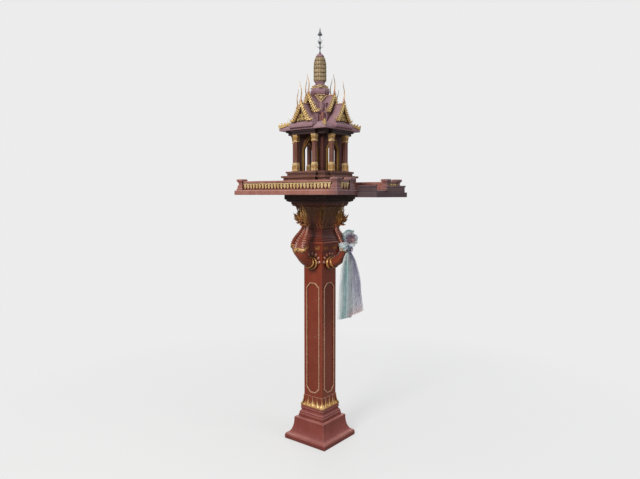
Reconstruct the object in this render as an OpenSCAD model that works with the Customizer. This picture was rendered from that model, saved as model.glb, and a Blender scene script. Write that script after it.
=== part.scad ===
// Spirit house on a single pillar: a moulded plinth and square shaft carry a lotus capital,
// a railed platform with a front landing, and a small cruciform shrine with a corncob spire.
// Millimetres. The origin is on the ground at the pillar axis, the landing side faces -Y, up is +Z.

/* [Base and shaft] */
// half width of the bottom slab of the base
slab_half = 155; // [120:1:200]
// height of the bottom slab
slab_h = 30; // [20:1:60]
// half width of the base at the top of its bell curve
bell_half = 113; // [90:1:140]
// height of the bell curve
bell_h = 93; // [60:1:130]
// thickness of the ledge that closes the bell
bell_ledge = 12; // [5:1:25]
// half width of the stepped block above the bell
step_half = 90; // [75:1:110]
// height of the stepped block
step_h = 72; // [45:1:100]
// half width of the gold petal band at its foot
band_foot = 84; // [72:1:100]
// height of the gold petal band
band_h = 67; // [40:1:90]
// spaces between the tall petals on each side of the gold band
band_petals = 4; // [3:1:8]
// half width of the square shaft
shaft_half = 68.5; // [50:0.5:90]
// height of the shaft above the stepped block
shaft_h = 958; // [700:2:1100]
// width of the sunk panel on each side of the shaft
panel_w = 98; // [60:1:120]
// gap between the gold band and the panel
panel_gap = 22; // [10:1:60]
// plain part of the shaft above the panel
panel_rest = 191; // [120:1:300]
// cut corner of the panel
panel_cut = 28; // [10:1:40]
// depth of the sunk panel
panel_sink = 3; // [1:0.5:8]
// width of the bead round the panel
bead_w = 5; // [3:0.5:10]
// height of the bead above the shaft face
bead_h = 3; // [1:0.5:6]

/* [Neck and capital] */
// half width of the collar band above the shaft
collar_half = 74; // [60:1:90]
// height of the collar band
collar_h = 41; // [25:1:60]
// half width of the ledge over the collar
ledge_half = 81; // [65:1:95]
// thickness of the ledge over the collar
ledge_h = 11; // [5:1:20]
// half width of the neck at its narrowest
neck_half = 56; // [45:1:70]
// height of the neck
neck_h = 94; // [70:1:130]
// half width of the capital at its lip
cap_half = 123; // [100:1:150]
// height of the capital
lotus_h = 157; // [120:1:200]
// tall petals on each side of the capital
cap_petals = 5; // [3:1:9]
// half width of the square block under the platform
abacus_half = 152; // [130:1:180]
// height of the square block under the platform
abacus_h = 43; // [28:1:70]

/* [Serpents] */
// radius of the tail arc that swings out of the shaft
tail_r = 76; // [60:1:90]
// thickness of the body at the tail arc, as a radius
body_r = 27; // [20:0.5:32]
// half width of the hood above the elbow
hood_half = 38; // [30:1:46]
// thickness of the neck under the head, as a radius
throat_r = 15; // [11:0.5:19]
// distance of the elbow from the shaft face
elbow_out = 114; // [95:1:130]
// height of the elbow above the top of the shaft
elbow_up = 7; // [-20:1:30]
// distance of the throat from the shaft face
throat_out = 52; // [40:1:66]
// height of the throat above the elbow
throat_up = 126; // [110:1:145]
// ribs on the belly of each serpent
belly_ribs = 10; // [5:1:14]
// thickness of the gold crest and mane plates
crest_t = 8; // [4:0.5:14]

/* [Platform] */
// half width of the platform, side to side
deck_hx = 341; // [280:1:420]
// half depth of the platform, front to back
deck_hy = 382; // [300:1:460]
// thickness of the platform slab
deck_t = 27; // [18:1:45]
// half width of the front landing
land_hx = 162; // [110:1:220]
// reach of the landing beyond the platform
land_out = 122; // [60:1:200]
// drop of the landing below the platform
land_drop = 13; // [5:1:25]
// lap of the landing under the platform
land_lap = 60; // [30:1:120]
// width of the corner posts
post_w = 46; // [30:1:70]
// height of the corner posts
post_h = 66; // [45:1:110]
// thickness of the low rail walls
wall_t = 14; // [8:1:24]
// height of the low rail walls
wall_h = 43; // [25:1:80]
// thickness of the cap of the rail
cap_h = 10; // [5:1:16]
// width of the cap of the rail
cap_w = 24; // [16:1:40]
// set back of posts and rails from the edge
rail_inset = 9; // [3:1:25]
// spacing of the gold petals on the rails
petal_pitch = 24; // [14:1:40]
// reach of the gold petals out of the rail wall
petal_t = 4; // [2:0.5:8]

/* [Shrine] */
// half width of the upper step of the shrine plinth
plinth_half = 140; // [110:1:180]
// height of the upper step of the shrine plinth
plinth_step = 26; // [16:1:40]
// top of the shrine plinth above the platform
plinth_h = 111; // [60:1:160]
// reach of each porch column from the axis
col_out = 138; // [110:1:170]
// half spacing of the two columns of a porch
col_side = 68; // [50:1:90]
// width of the square porch columns
col_w = 23; // [18:1:40]
// height of the porch columns
col_h = 212; // [150:1:300]
// half width of the inner shrine room
cella_half = 92; // [70:1:115]
// thickness of the walls of the shrine room
cella_t = 9; // [5:1:16]
// half width of each arched opening
arch_hw = 46; // [30:1:60]
// height of the straight part of the opening
arch_spring = 130; // [80:1:170]
// rise of the pointed head of the opening
arch_rise = 62; // [30:1:80]
// width of the gold frame round each opening
frame_w = 15; // [8:1:25]
// thickness of the gold frame
frame_t = 5; // [3:0.5:10]
// height of the beams over the columns
beam_h = 26; // [14:1:40]

/* [Roof] */
// half width of the eave at its four corners
eave_half = 172; // [140:1:210]
// reach of the eave at the middle of each side
eave_mid = 186; // [150:1:225]
// half width of that middle part
eave_mid_hw = 86; // [60:1:110]
// lift of that middle part above the corners
eave_lift = 12; // [4:1:20]
// thickness of the eave edge
eave_edge = 11; // [5:1:20]
// height of the eave roof
eave_rise = 44; // [30:1:90]
// half width of the roof where the eave ends
drum_half = 110; // [90:1:130]
// half width of each gable at its foot
gable_hw = 64; // [45:1:85]
// height of each gable
gable_h = 108; // [70:1:150]
// reach of the lower gables from the axis
gable1_out = 172; // [140:1:200]
// reach of the upper gables from the axis
gable2_out = 104; // [85:1:130]
// lift of the upper gables above the lower ones
gable_lift = 56; // [30:1:90]
// thickness of the gold gable boards
board_t = 7; // [4:0.5:12]
// width of the gold gable boards
board_w = 15; // [8:1:24]
// teeth along each gable board
board_teeth = 9; // [5:1:14]
// height of the curved finials on the gables
chofa_h = 122; // [70:1:160]
// half width of the foot of each curved finial
chofa_foot = 4; // [2:0.5:8]

/* [Spire] */
// half width of the turned pedestal under the spire
ped_half = 41; // [32:1:50]
// height of the pedestal
ped_h = 49; // [30:1:65]
// half width of the bowl of the spire
bowl_half = 52; // [42:1:62]
// height of the bowl of the spire
bowl_h = 43; // [30:1:60]
// height of the ringed neck over the bowl
crown_h = 44; // [32:1:70]
// diameter of the corncob spire
cob_d = 77; // [50:1:110]
// height of the corncob spire
cob_h = 164; // [100:1:240]
// tiers of the corncob spire
cob_tiers = 7; // [4:1:10]
// upright grooves round the corncob spire
cob_grooves = 12; // [8:1:20]
// height of the metal finial
finial_h = 151; // [80:1:220]
// diameter of the finial rod
rod_d = 8; // [4:0.5:14]

/* [Sash] */
// width of the tied sash at the ends of its tails
sash_w = 150; // [80:1:220]
// drop of the sash tails below the knot
sash_drop = 410; // [200:1:520]
// thickness of the bunched cloth
sash_t = 16; // [8:1:40]

/* [Hidden] */
// which sub-part is drawn
$fn = 48;
// gap between a part and what it slides into or is tied round
fit = 0.3;
// steps along a drawn curve
curve_n = 10;
bell_top = slab_h + bell_h;
step_top = bell_top + bell_ledge + step_h;
band_top = step_top + band_h;
shaft_top = step_top + shaft_h;
panel_z0 = band_top + panel_gap;
panel_z1 = shaft_top - panel_rest;
collar_top = shaft_top + collar_h;
neck_top = collar_top + neck_h;
cap_top = neck_top + lotus_h;
deck_z = cap_top + abacus_h;
elbow_z = shaft_top + elbow_up;
deck_top = deck_z + deck_t;
shrine_z = deck_top + plinth_h;
beam_z = shrine_z + col_h;
eave_z = beam_z + beam_h;
roof_z = eave_z + eave_rise;
gable2_z = roof_z + gable_lift;
ped_z = gable2_z + gable_h * 0.54;
bowl_z = ped_z + ped_h;
crown_z = bowl_z + bowl_h;
cob_z = crown_z + crown_h;
finial_z = cob_z + cob_h;

red = [0.48, 0.24, 0.18];
pink = [0.66, 0.50, 0.49];
mauve = [0.55, 0.44, 0.48];
gold = [0.72, 0.56, 0.30];
metal = [0.45, 0.48, 0.52];
cloth = [0.66, 0.80, 0.78];

// points of an elliptical quarter curve from [x0,z0] to [x1,z1]; hollow when it leaves x0 upright
function sweep_in(x0, z0, x1, z1) =
  [for (i = [0:curve_n]) let (a = 90 * i / curve_n) [x1 + (x0 - x1) * cos(a), z0 + (z1 - z0) * sin(a)]];
function sweep_out(x0, z0, x1, z1) =
  [for (i = [0:curve_n]) let (a = 90 * i / curve_n) [x0 + (x1 - x0) * sin(a), z1 + (z0 - z1) * cos(a)]];
// the outline of a profile of [half width, height] points and its mirror image
function both(p) = concat(p, [for (i = [len(p) - 1:-1:0]) [-p[i][0], p[i][1]]]);
function grown(p, t) = [for (q = p) [q[0] + t, q[1]]];

// a moulding of square plan from one profile, mitred at the corners
module square_moulding(p) {
  intersection() {
    rotate([90, 0, 0]) linear_extrude(4 * slab_half, center = true) polygon(both(p));
    rotate([90, 0, 90]) linear_extrude(4 * slab_half, center = true) polygon(both(p));
  }
}
module square_block(half, z0, z1) {
  translate([-half, -half, z0]) cube([2 * half, 2 * half, z1 - z0]);
}
module four() {
  for (a = [0:90:270]) rotate(a) children();
}
// draws on the front face: x stays x, the drawing's y becomes z, and it runs out towards -Y
module on_front(y0, t) {
  translate([0, -y0, 0]) rotate([90, 0, 0]) linear_extrude(t) children();
}
// a pointed petal standing on its foot
module petal(w, h) {
  polygon(concat([[-w / 2, 0]],
    [for (i = [0:6]) let (t = i / 6) [-w / 2 * cos(90 * t) - w * 0.1 * sin(180 * t), h * (0.25 + 0.75 * t)]],
    [for (i = [5:-1:0]) let (t = i / 6) [w / 2 * cos(90 * t) + w * 0.1 * sin(180 * t), h * (0.25 + 0.75 * t)]],
    [[w / 2, 0]]));
}

// bottom slab with the bell curve and its ledge
module base_plinth() {
  lip = 4;
  color(red) square_moulding(concat(
    [[slab_half - 2, 0], [slab_half, 2], [slab_half, slab_h - lip], [slab_half - lip, slab_h]],
    [for (i = [0:curve_n]) let (a = 90 * i / curve_n)
      [slab_half - lip - (slab_half - lip - bell_half) * sin(a),
       slab_h + 3 + (bell_top - slab_h - 3) * (1 - cos(a))]],
    [[bell_half, bell_top + bell_ledge - 3], [bell_half - 3, bell_top + bell_ledge]]));
}
// stepped block between the bell and the gold band
module base_steps() {
  z0 = bell_top + bell_ledge;
  dz = step_top - z0;
  color(red) square_moulding(concat(
    [[step_half + 3, z0], [step_half + 3, z0 + dz * 0.28], [step_half, z0 + dz * 0.32],
     [step_half, z0 + dz * 0.45], [step_half - 4, z0 + dz * 0.5]],
    [for (i = [0:curve_n]) let (a = 180 * i / curve_n)
      [step_half - 4 - 5 * sin(a), z0 + dz * (0.5 + 0.3 * i / curve_n)]],
    [[step_half - 4, z0 + dz * 0.8], [band_foot - 1, z0 + dz * 0.86], [band_foot - 1, step_top]]));
}
// a slim pointed petal on a face that narrows upwards, its foot at the share k of the half width
module leaning_petal(k, w, z0, z1, x0, x1) {
  function edge(t, s) = [k * (x0 + (x1 - x0) * t) + s * w / 2 * cos(90 * t), z0 + (z1 - z0) * t];
  polygon(concat([for (i = [0:6]) edge(i / 6, -1)], [for (i = [5:-1:0]) edge(i / 6, 1)]));
}
// gold band that flares to its foot, with tall petals on the corners and between them
module lotus_band() {
  t = 3;
  prof = concat([[band_foot, step_top], [band_foot, step_top + 7]],
    sweep_out(band_foot - 4, step_top + 9, shaft_half + 1, band_top));
  gap = 2 / band_petals;
  color(gold) difference() {
    union() {
      square_moulding(prof);
      four() intersection() {
        square_moulding(grown(prof, t));
        on_front(0, 2 * slab_half) {
          for (i = [0:band_petals])
            leaning_petal(i * gap - 1, 16, step_top, band_top, band_foot, shaft_half);
          for (i = [0:band_petals - 1])
            leaning_petal((i + 0.5) * gap - 1, 18, step_top, step_top + band_h * 0.55, band_foot, shaft_half + 6);
        }
      }
    }
    square_block(shaft_half, step_top, band_top + 1);
  }
}
module panel_shape(grow) {
  w = panel_w / 2 + grow;
  c = panel_cut;
  polygon([[-w + c, panel_z0 - grow], [w - c, panel_z0 - grow], [w, panel_z0 - grow + c],
    [w, panel_z1 + grow - c], [w - c, panel_z1 + grow], [-w + c, panel_z1 + grow],
    [-w, panel_z1 + grow - c], [-w, panel_z0 - grow + c]]);
}
// square shaft with a sunk panel on each side
module pillar_shaft() {
  color(red) difference() {
    square_block(shaft_half, step_top, shaft_top);
    four() on_front(shaft_half - panel_sink, 2 * panel_sink) panel_shape(-bead_w);
  }
}
module panel_beads() {
  color(pink) four() on_front(shaft_half, bead_h) difference() {
    panel_shape(0);
    panel_shape(-bead_w);
  }
}
// collar band and the ledge over it
module shaft_collar() {
  color(red) square_moulding([[collar_half, shaft_top], [collar_half, collar_top],
    [ledge_half, collar_top + 3], [ledge_half, collar_top + ledge_h], [ledge_half - 6, collar_top + ledge_h + 4]]);
}
// a curling leaf ornament drawn as rings and buds
module curl(r) {
  difference() { circle(r); translate([r * 0.25, r * 0.1]) circle(r * 0.58); }
  translate([r * 0.35, 0]) circle(r * 0.28);
}
module collar_curls() {
  z = shaft_top + (collar_top - shaft_top) / 2;
  color(gold) four() on_front(collar_half, 4) {
    for (s = [-1, 1]) translate([s * 42, z]) {
      translate([-8, 0]) curl(9);
      translate([8, 0]) mirror([1, 0]) curl(9);
      translate([0, -5]) circle(5);
    }
  }
}
// hollowed neck between the collar and the capital
module capital_neck() {
  z0 = collar_top + ledge_h + 4;
  zm = z0 + 22;
  color(red) square_moulding(concat(
    [[ledge_half - 10, z0], [ledge_half - 10, z0 + 8], [ledge_half - 14, zm - 8], [ledge_half - 14, zm]],
    sweep_out(ledge_half - 18, zm + 2, neck_half - 2, zm + 26),
    [[neck_half - 2, neck_top - 16], [neck_half + 4, neck_top - 12], [neck_half + 4, neck_top - 4],
     [neck_half, neck_top]]));
}
// flared capital with tall petals over a ring of short ones
module lotus_capital() {
  lip = 14;
  prof = concat([[neck_half, neck_top], [neck_half, neck_top + 6]],
    [for (i = [0:curve_n]) let (a = 90 * i / curve_n)
      [neck_half + (cap_half - 5 - neck_half) * (1 - cos(a)), neck_top + 6 + (cap_top - lip - neck_top - 6) * sin(a) * 0.94]],
    [[cap_half - 4, cap_top - lip], [cap_half, cap_top - lip + 3], [cap_half, cap_top]]);
  color(red) union() {
    square_moulding(prof);
    four() intersection() {
      square_moulding(grown(prof, 5));
      on_front(0, 2 * slab_half) for (i = [0:cap_petals - 1]) let (
        k = (i + 0.5) / cap_petals * 2 - 1, k0 = i / cap_petals * 2 - 1 + 0.05,
        k1 = (i + 1) / cap_petals * 2 - 1 - 0.05, zt = cap_top - lip - 4, n = neck_half, c = cap_half - 8)
        polygon([[n * k0, neck_top + 8], [n * k1, neck_top + 8], [c * k1 * 0.98, zt - 26],
          [c * (k * 0.4 + k1 * 0.6), zt - 9], [c * k, zt], [c * (k * 0.4 + k0 * 0.6), zt - 9],
          [c * k0 * 0.98, zt - 26]]);
    }
    four() on_front(0, neck_half + 7) for (i = [-2:2])
      translate([i * neck_half * 0.44, neck_top]) petal(neck_half * 0.4, 26);
  }
}
module abacus() {
  z1 = deck_z;
  color(red) square_moulding([[cap_half + 6, cap_top], [abacus_half - 8, cap_top + 6],
    [abacus_half - 8, cap_top + 14], [abacus_half, cap_top + 17], [abacus_half, z1]]);
}

// a tapering limb between two points of the serpent's plane, [outwards, height]
module limb(p, q, r1, r2) {
  d = q - p;
  translate([0, -p[0], p[1]]) rotate([atan2(d[0], d[1]), 0, 0]) cylinder(h = norm(d), r1 = r1, r2 = r2);
}
module ball(p, r) { translate([0, -p[0], p[1]]) sphere(r); }
// the plane of one serpent: elbow, throat and brow as [outwards, height]
elbow = [shaft_half + elbow_out, elbow_z];
throat = [shaft_half + throat_out, elbow_z + throat_up];
brow = throat + [28, 46];
foot = elbow - [tail_r, tail_r];
lean = atan2((throat - elbow)[0], (throat - elbow)[1]);
neck_l = norm(throat - elbow);
// something on the neck: up is along it, -Y is the belly side
module on_neck() {
  translate([0, -elbow[0], elbow[1]]) rotate([lean, 0, 0]) children();
}
// outline of the hood seen from its belly side, with a half width w at the collar, grown by g
module hood_outline(w, g) {
  polygon(both([[w * 0.6 + g, -24], [w + g, 8], [w + g, 42], [w * 0.36 + g, neck_l]]));
}
// the flattened hood: two plates, the thick one narrower, and ribs across the belly, all grown by g
module hood(g) {
  on_neck() {
    translate([0, 8 + g, 0]) rotate([90, 0, 0]) linear_extrude(16 + 2 * g) hood_outline(hood_half, g);
    translate([0, 13 + g, 0]) rotate([90, 0, 0]) linear_extrude(26 + 2 * g) hood_outline(hood_half * 0.72, g);
    for (i = [0:belly_ribs - 1]) let (k = (i + 0.5) / belly_ribs, w = 15 - 7 * k)
      translate([-w - g, -17 - g, 44 + (neck_l - 60) * k]) cube([2 * w + 2 * g, 12, 5 + g]);
  }
}
// the head with a lifted nose and an open jaw, grown by g
module naga_head(g) {
  limb(throat, brow, throat_r - 1 + g, throat_r + 2 + g);
  ball(brow, throat_r + 4 + g);
  limb(brow, brow + [34, 9], throat_r + 2 + g, 10 + g);
  limb(brow + [28, 8], brow + [52, 32], 9 + g, 3 + g);
  limb(brow + [2, -9], brow + [36, -20], throat_r - 3 + g, 5 + g);
}
// the tail where it leaves the shaft
module naga_root(g) {
  limb([shaft_half - 6, foot[1]], foot, body_r + 6 + g, body_r - 1 + g);
}
// one serpent: a tail arc out of the shaft, an elbow, a ribbed hood and a head under the block
module naga() {
  color(red) difference() {
    union() {
      naga_root(0);
      ball(foot, body_r + 1);
      translate([0, -foot[0], elbow_z]) rotate([0, -90, 0]) rotate([0, 0, 180])
        rotate_extrude(angle = 90) translate([tail_r, 0]) circle(body_r);
      ball(elbow, body_r + 1);
      hood(0);
      ball(throat, throat_r);
      naga_head(0);
    }
    square_block(shaft_half, 0, shaft_top);
  }
}
// gold on the serpents: crest, mane, elbow collar and two cups where the tail leaves the shaft
module naga_gilding() {
  b = brow;
  h = hood_half + 6;
  color(gold) four() {
    difference() {
      union() {
        translate([crest_t / 2, 0, 0]) rotate([90, 0, -90]) linear_extrude(crest_t) polygon([b + [-14, 8],
          b + [-16, 30], b + [-11, 42], b + [-6, 30], b + [-2, 48], b + [6, 66], b + [10, 44], b + [24, 72],
          b + [48, 110], b + [41, 72], b + [37, 46], b + [32, 20], b + [20, 6]]);
        for (s = [0, 1]) mirror([s, 0, 0]) on_front(b[0] - 4, crest_t) translate([0, b[1]])
          polygon([[4, -12], [22, -27], [34, -28], [44, -16], [36, -6], [50, 4], [48, 18], [38, 16], [46, 38],
            [36, 54], [29, 36], [18, 44], [10, 30], [4, 14]]);
      }
      naga_head(fit);
    }
    on_neck() difference() {
      union() {
        translate([0, 0, 30]) linear_extrude(11)
          polygon([[-h, 8], [10 - h, 19], [h - 10, 19], [h, 8], [h, -24], [h - 10, -34], [10 - h, -34], [-h, -24]]);
        translate([0, -28.5, 0]) rotate([90, 0, 0]) linear_extrude(5.5)
          polygon([[4 - h, 32], [h - 4, 32], [30, 12], [14, 28], [0, 20], [-14, 28], [-30, 12]]);
      }
      translate([0, 0, 10]) linear_extrude(40) {
        square([2 * (hood_half + fit), 2 * (8 + fit)], center = true);
        square([2 * (hood_half * 0.72 + fit), 2 * (13 + fit)], center = true);
      }
    }
    difference() {
      union() {
        on_front(shaft_half, 7) translate([0, foot[1]]) {
          circle(body_r + 17);
          for (k = [-1, 1]) translate([k * 17, body_r + 14]) circle(11);
        }
        on_front(shaft_half + 19, 9) translate([0, foot[1] - 1]) circle(body_r + 11);
      }
      naga_root(fit);
    }
  }
}

// platform slab with a worn bevel
module platform_slab() {
  b = 3;
  color(pink) intersection() {
    rotate([90, 0, 0]) linear_extrude(4 * deck_hy, center = true)
      polygon(both([[deck_hx - b, deck_z], [deck_hx, deck_z + b], [deck_hx, deck_top - b], [deck_hx - b, deck_top]]));
    rotate([90, 0, 90]) linear_extrude(4 * deck_hx, center = true)
      polygon(both([[deck_hy - b, deck_z], [deck_hy, deck_z + b], [deck_hy, deck_top - b], [deck_hy - b, deck_top]]));
  }
}
// landing that laps under the front edge of the platform
module front_landing() {
  y0 = deck_hy + land_out;
  color(pink) difference() {
    translate([-land_hx, -y0, deck_z - land_drop])
      cube([2 * land_hx, land_out + land_lap, deck_t]);
    translate([-land_hx - 1, -deck_hy, deck_z]) cube([2 * land_hx + 2, land_lap + 1, deck_t]);
    translate([-land_hx - 1, -deck_hy - 0.01, deck_z]) cube([2 * land_hx + 2, 4, deck_t]);
  }
}
edge_x = deck_hx - rail_inset - post_w / 2;
edge_y = deck_hy - rail_inset - post_w / 2;
// a low wall with its cap, running along x from x0 to x1
module rail_run(x0, x1) {
  translate([x0, -wall_t / 2, deck_top]) cube([x1 - x0, wall_t, wall_h]);
  translate([x0, -cap_w / 2, deck_top + wall_h]) cube([x1 - x0, cap_w, cap_h]);
}
module platform_rails() {
  px = edge_x - post_w / 2;
  py = edge_y - post_w / 2;
  color(pink) {
    translate([0, edge_y, 0]) rail_run(-px, px);
    for (s = [-1, 1]) {
      translate([s * edge_x, 0, 0]) rotate(90) rail_run(-py, py);
      translate([0, -edge_y, 0]) rail_run(s > 0 ? land_hx + post_w : -px, s > 0 ? px : -land_hx - post_w);
    }
  }
}
// a row of gold petals hanging on the outside of a rail wall of length l
module petal_row(l) {
  n = floor(l / petal_pitch);
  rotate([90, 0, 0]) linear_extrude(petal_t) {
    translate([-l / 2, wall_h - 9]) square([l, 5]);
    for (i = [0:n - 1]) translate([(i - (n - 1) / 2) * petal_pitch, wall_h - 7])
      mirror([0, 1]) petal(petal_pitch * 0.64, wall_h - 14);
  }
}
module rail_petals() {
  out = wall_t / 2;
  px = edge_x - post_w / 2;
  py = edge_y - post_w / 2;
  fl = px - land_hx - post_w;
  color(gold) translate([0, 0, deck_top]) {
    translate([0, edge_y + out, 0]) rotate(180) petal_row(2 * px);
    for (s = [-1, 1]) {
      translate([s * (edge_x + out), 0, 0]) rotate(s * 90) petal_row(2 * py);
      translate([s * (land_hx + post_w + fl / 2), -edge_y - out, 0]) petal_row(fl);
    }
  }
}
// a waisted post
module post() {
  w = post_w / 2;
  translate([0, 0, deck_top]) square_moulding(concat([[w, 0], [w, 9]],
    sweep_in(w - 3, 11, w * 0.6, post_h * 0.48),
    [[w * 0.6, post_h * 0.6], [w * 0.75, post_h * 0.74], [w - 2, post_h * 0.8], [w, post_h * 0.82],
     [w, post_h - 3], [w - 3, post_h]]));
}
module platform_posts() {
  color(pink) {
    for (x = [-1, 1], y = [-1, 1]) translate([x * edge_x, y * edge_y, 0]) post();
    for (x = [-1, 1]) translate([x * (land_hx + post_w / 2), -edge_y, 0]) post();
  }
}
module landing_rails() {
  z = deck_top - land_drop;
  y0 = deck_hy + land_out;
  color(pink) for (s = [-1, 1]) translate([s * (land_hx - 14), 0, z]) {
    translate([-5, -y0 + 10, 0]) cube([10, land_out - 12, 30]);
    translate([-9, -y0 + 6, 30]) cube([18, land_out - 6, 8]);
  }
}

// the plan of a square with a shallow arm on each side
module cross_plan(half, arm, arm_hw) {
  square(2 * half, center = true);
  square([2 * arm, 2 * arm_hw], center = true);
  square([2 * arm_hw, 2 * arm], center = true);
}
module plinth_lower() {
  z1 = shrine_z - plinth_step - deck_top;
  color(red) translate([0, 0, deck_top]) {
    linear_extrude(18) cross_plan(plinth_half + 36, plinth_half + 52, col_side + 44);
    translate([0, 0, 18]) linear_extrude(z1 - 30) cross_plan(plinth_half + 16, plinth_half + 32, col_side + 30);
    translate([0, 0, z1 - 12]) linear_extrude(12) cross_plan(plinth_half + 26, plinth_half + 42, col_side + 38);
  }
}
module plinth_upper() {
  k = plinth_step * 0.58;
  color(red) translate([0, 0, shrine_z - plinth_step]) {
    linear_extrude(k) cross_plan(plinth_half, plinth_half + 16, col_side + 22);
    translate([0, 0, k]) linear_extrude(plinth_step - k) cross_plan(plinth_half + 6, plinth_half + 22, col_side + 27);
  }
}
module at_columns() {
  four() for (s = [-1, 1]) translate([s * col_side, -col_out, shrine_z]) children();
}
base_h = 50;
capital_h = 41;
module porch_columns() {
  c = 2.5;
  w = col_w / 2;
  color(red) at_columns() translate([0, 0, base_h]) linear_extrude(col_h - base_h - capital_h)
    polygon([[-w + c, -w], [w - c, -w], [w, -w + c], [w, w - c], [w - c, w], [-w + c, w], [-w, w - c], [-w, -w + c]]);
}
module column_bases() {
  w = col_w / 2;
  color(gold) at_columns() square_moulding([[w + 3, 0], [w + 3, 10], [w + 2, 12], [w + 2, base_h - 12],
    [w + 0.6, base_h - 8], [w + 1.5, base_h - 4], [w, base_h]]);
}
module column_capitals() {
  w = col_w / 2;
  z = col_h - capital_h;
  color(gold) at_columns() square_moulding([[w + 2, z], [w + 2, z + 4], [w, z + 6], [w + 0.5, z + 18],
    [w + 3, z + 30], [w + 3, z + 34], [w + 4, z + 36], [w + 4, col_h]]);
}
// pointed head with a small cusp on each side
module arch_shape(grow) {
  w = arch_hw + grow;
  polygon([[-w, -1], [w, -1], [w, arch_spring], [w - 4, arch_spring + 6], [w * 0.5, arch_spring + arch_rise * 0.52],
    [w * 0.32, arch_spring + arch_rise * 0.7], [0, arch_spring + arch_rise + grow],
    [-w * 0.32, arch_spring + arch_rise * 0.7], [-w * 0.5, arch_spring + arch_rise * 0.52],
    [-w + 4, arch_spring + 6], [-w, arch_spring]]);
}
module shrine_walls() {
  color(red) translate([0, 0, shrine_z]) difference() {
    linear_extrude(col_h) difference() {
      square(2 * cella_half, center = true);
      square(2 * (cella_half - cella_t), center = true);
    }
    four() on_front(cella_half - 2 * cella_t, 3 * cella_t) arch_shape(0);
  }
}
module door_frames() {
  color(gold) four() translate([0, 0, shrine_z]) on_front(cella_half, frame_t) intersection() {
    difference() {
      arch_shape(frame_w);
      arch_shape(0);
    }
    translate([-cella_half, 0]) square([2 * cella_half, col_h]);
  }
}
module entablature() {
  color(red) translate([0, 0, beam_z]) {
    linear_extrude(beam_h * 0.6) cross_plan(col_out - 4, col_out + 18, col_side + 18);
    translate([0, 0, beam_h * 0.6]) linear_extrude(beam_h * 0.4) cross_plan(col_out + 6, col_out + 26, col_side + 22);
  }
}

// eave roof: a hipped skirt with a raised middle on each side
module eave_roof() {
  color(mauve) translate([0, 0, eave_z]) {
    square_moulding([[eave_half, 0], [eave_half, eave_edge], [drum_half, eave_rise]]);
    four() intersection() {
      rotate([90, 0, 0]) linear_extrude(2 * eave_mid)
        polygon(both([[eave_mid_hw, 0], [eave_mid_hw, eave_edge + eave_lift], [gable_hw + 6, eave_rise]]));
      rotate([90, 0, 90]) linear_extrude(4 * eave_mid, center = true)
        polygon([[0, 0], [-eave_half, 0], [-eave_half - 2, eave_lift], [-eave_mid, eave_lift],
          [-eave_mid, eave_edge + eave_lift], [-gable1_out + 6, eave_rise], [0, eave_rise]]);
    }
  }
}
// a crest lying along a hip, with three spikes
module horn() {
  polygon([[0, -9], [-12, 16], [-2, 13], [2, 14], [8, 34], [15, 20], [20, 23], [28, 42], [34, 28], [40, 31],
    [48, 50], [56, 36], [62, 42], [70, 32], [74, -9]]);
}
module corner_horns() {
  run = (eave_half - drum_half) * sqrt(2);
  m = (eave_rise - eave_edge) / run;
  color(gold) for (a = [45:90:315]) rotate(a) translate([eave_half * sqrt(2) - 4, 3, eave_z + eave_edge + 3])
    rotate([90, 0, 0]) mirror([1, 0, 0]) linear_extrude(6) difference() {
      horn();
      polygon([[-20, -30], [-20, -16 * m - 2.7], [run, (run + 4) * m - 2.7], [run, -30]]);
    }
}
// stepped core under the upper gables
module roof_core() {
  color(mauve) translate([0, 0, roof_z]) linear_extrude(gable_lift) {
    cross_plan(gable2_out - 24, gable2_out - 4, gable_hw - 2);
    square(2 * (gable2_out - 17), center = true);
  }
}
// the hollow-sided outline of a gable
function gable_side(w, h, n) =
  [for (i = [0:n]) let (t = i / n) [w * (1 - t) - w * 0.07 * sin(180 * t), h * t - h * 0.02 * sin(180 * t)]];
module gable_plan(w, h) { polygon(both(gable_side(w, h, 8))); }
module lower_gables() {
  sink = 12;
  color(mauve) four() difference() {
    on_front(gable2_out, gable1_out - gable2_out) translate([0, roof_z]) gable_plan(gable_hw, gable_h);
    on_front(gable1_out - sink, 2 * sink) translate([0, roof_z]) gable_plan(gable_hw - board_w, gable_h - 30);
  }
}
module upper_gables() {
  sink = 8;
  color(mauve) difference() {
    union() {
      for (a = [0, 90]) rotate(a) on_front(-gable2_out, 2 * gable2_out)
        translate([0, gable2_z]) gable_plan(gable_hw, gable_h);
      translate([0, 0, gable2_z]) linear_extrude(ped_z - gable2_z) {
        square(2 * (gable2_out - 30), center = true);
        cross_plan(gable2_out - 36, gable2_out - 24, gable_hw - 16);
      }
      rotate(45) square_block(ped_half, ped_z, bowl_z);
    }
    four() on_front(gable2_out - sink, 2 * sink) translate([0, gable2_z]) gable_plan(gable_hw - board_w, gable_h - 30);
    square_block(gable2_out, bowl_z, bowl_z + gable_h);
  }
}
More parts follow.
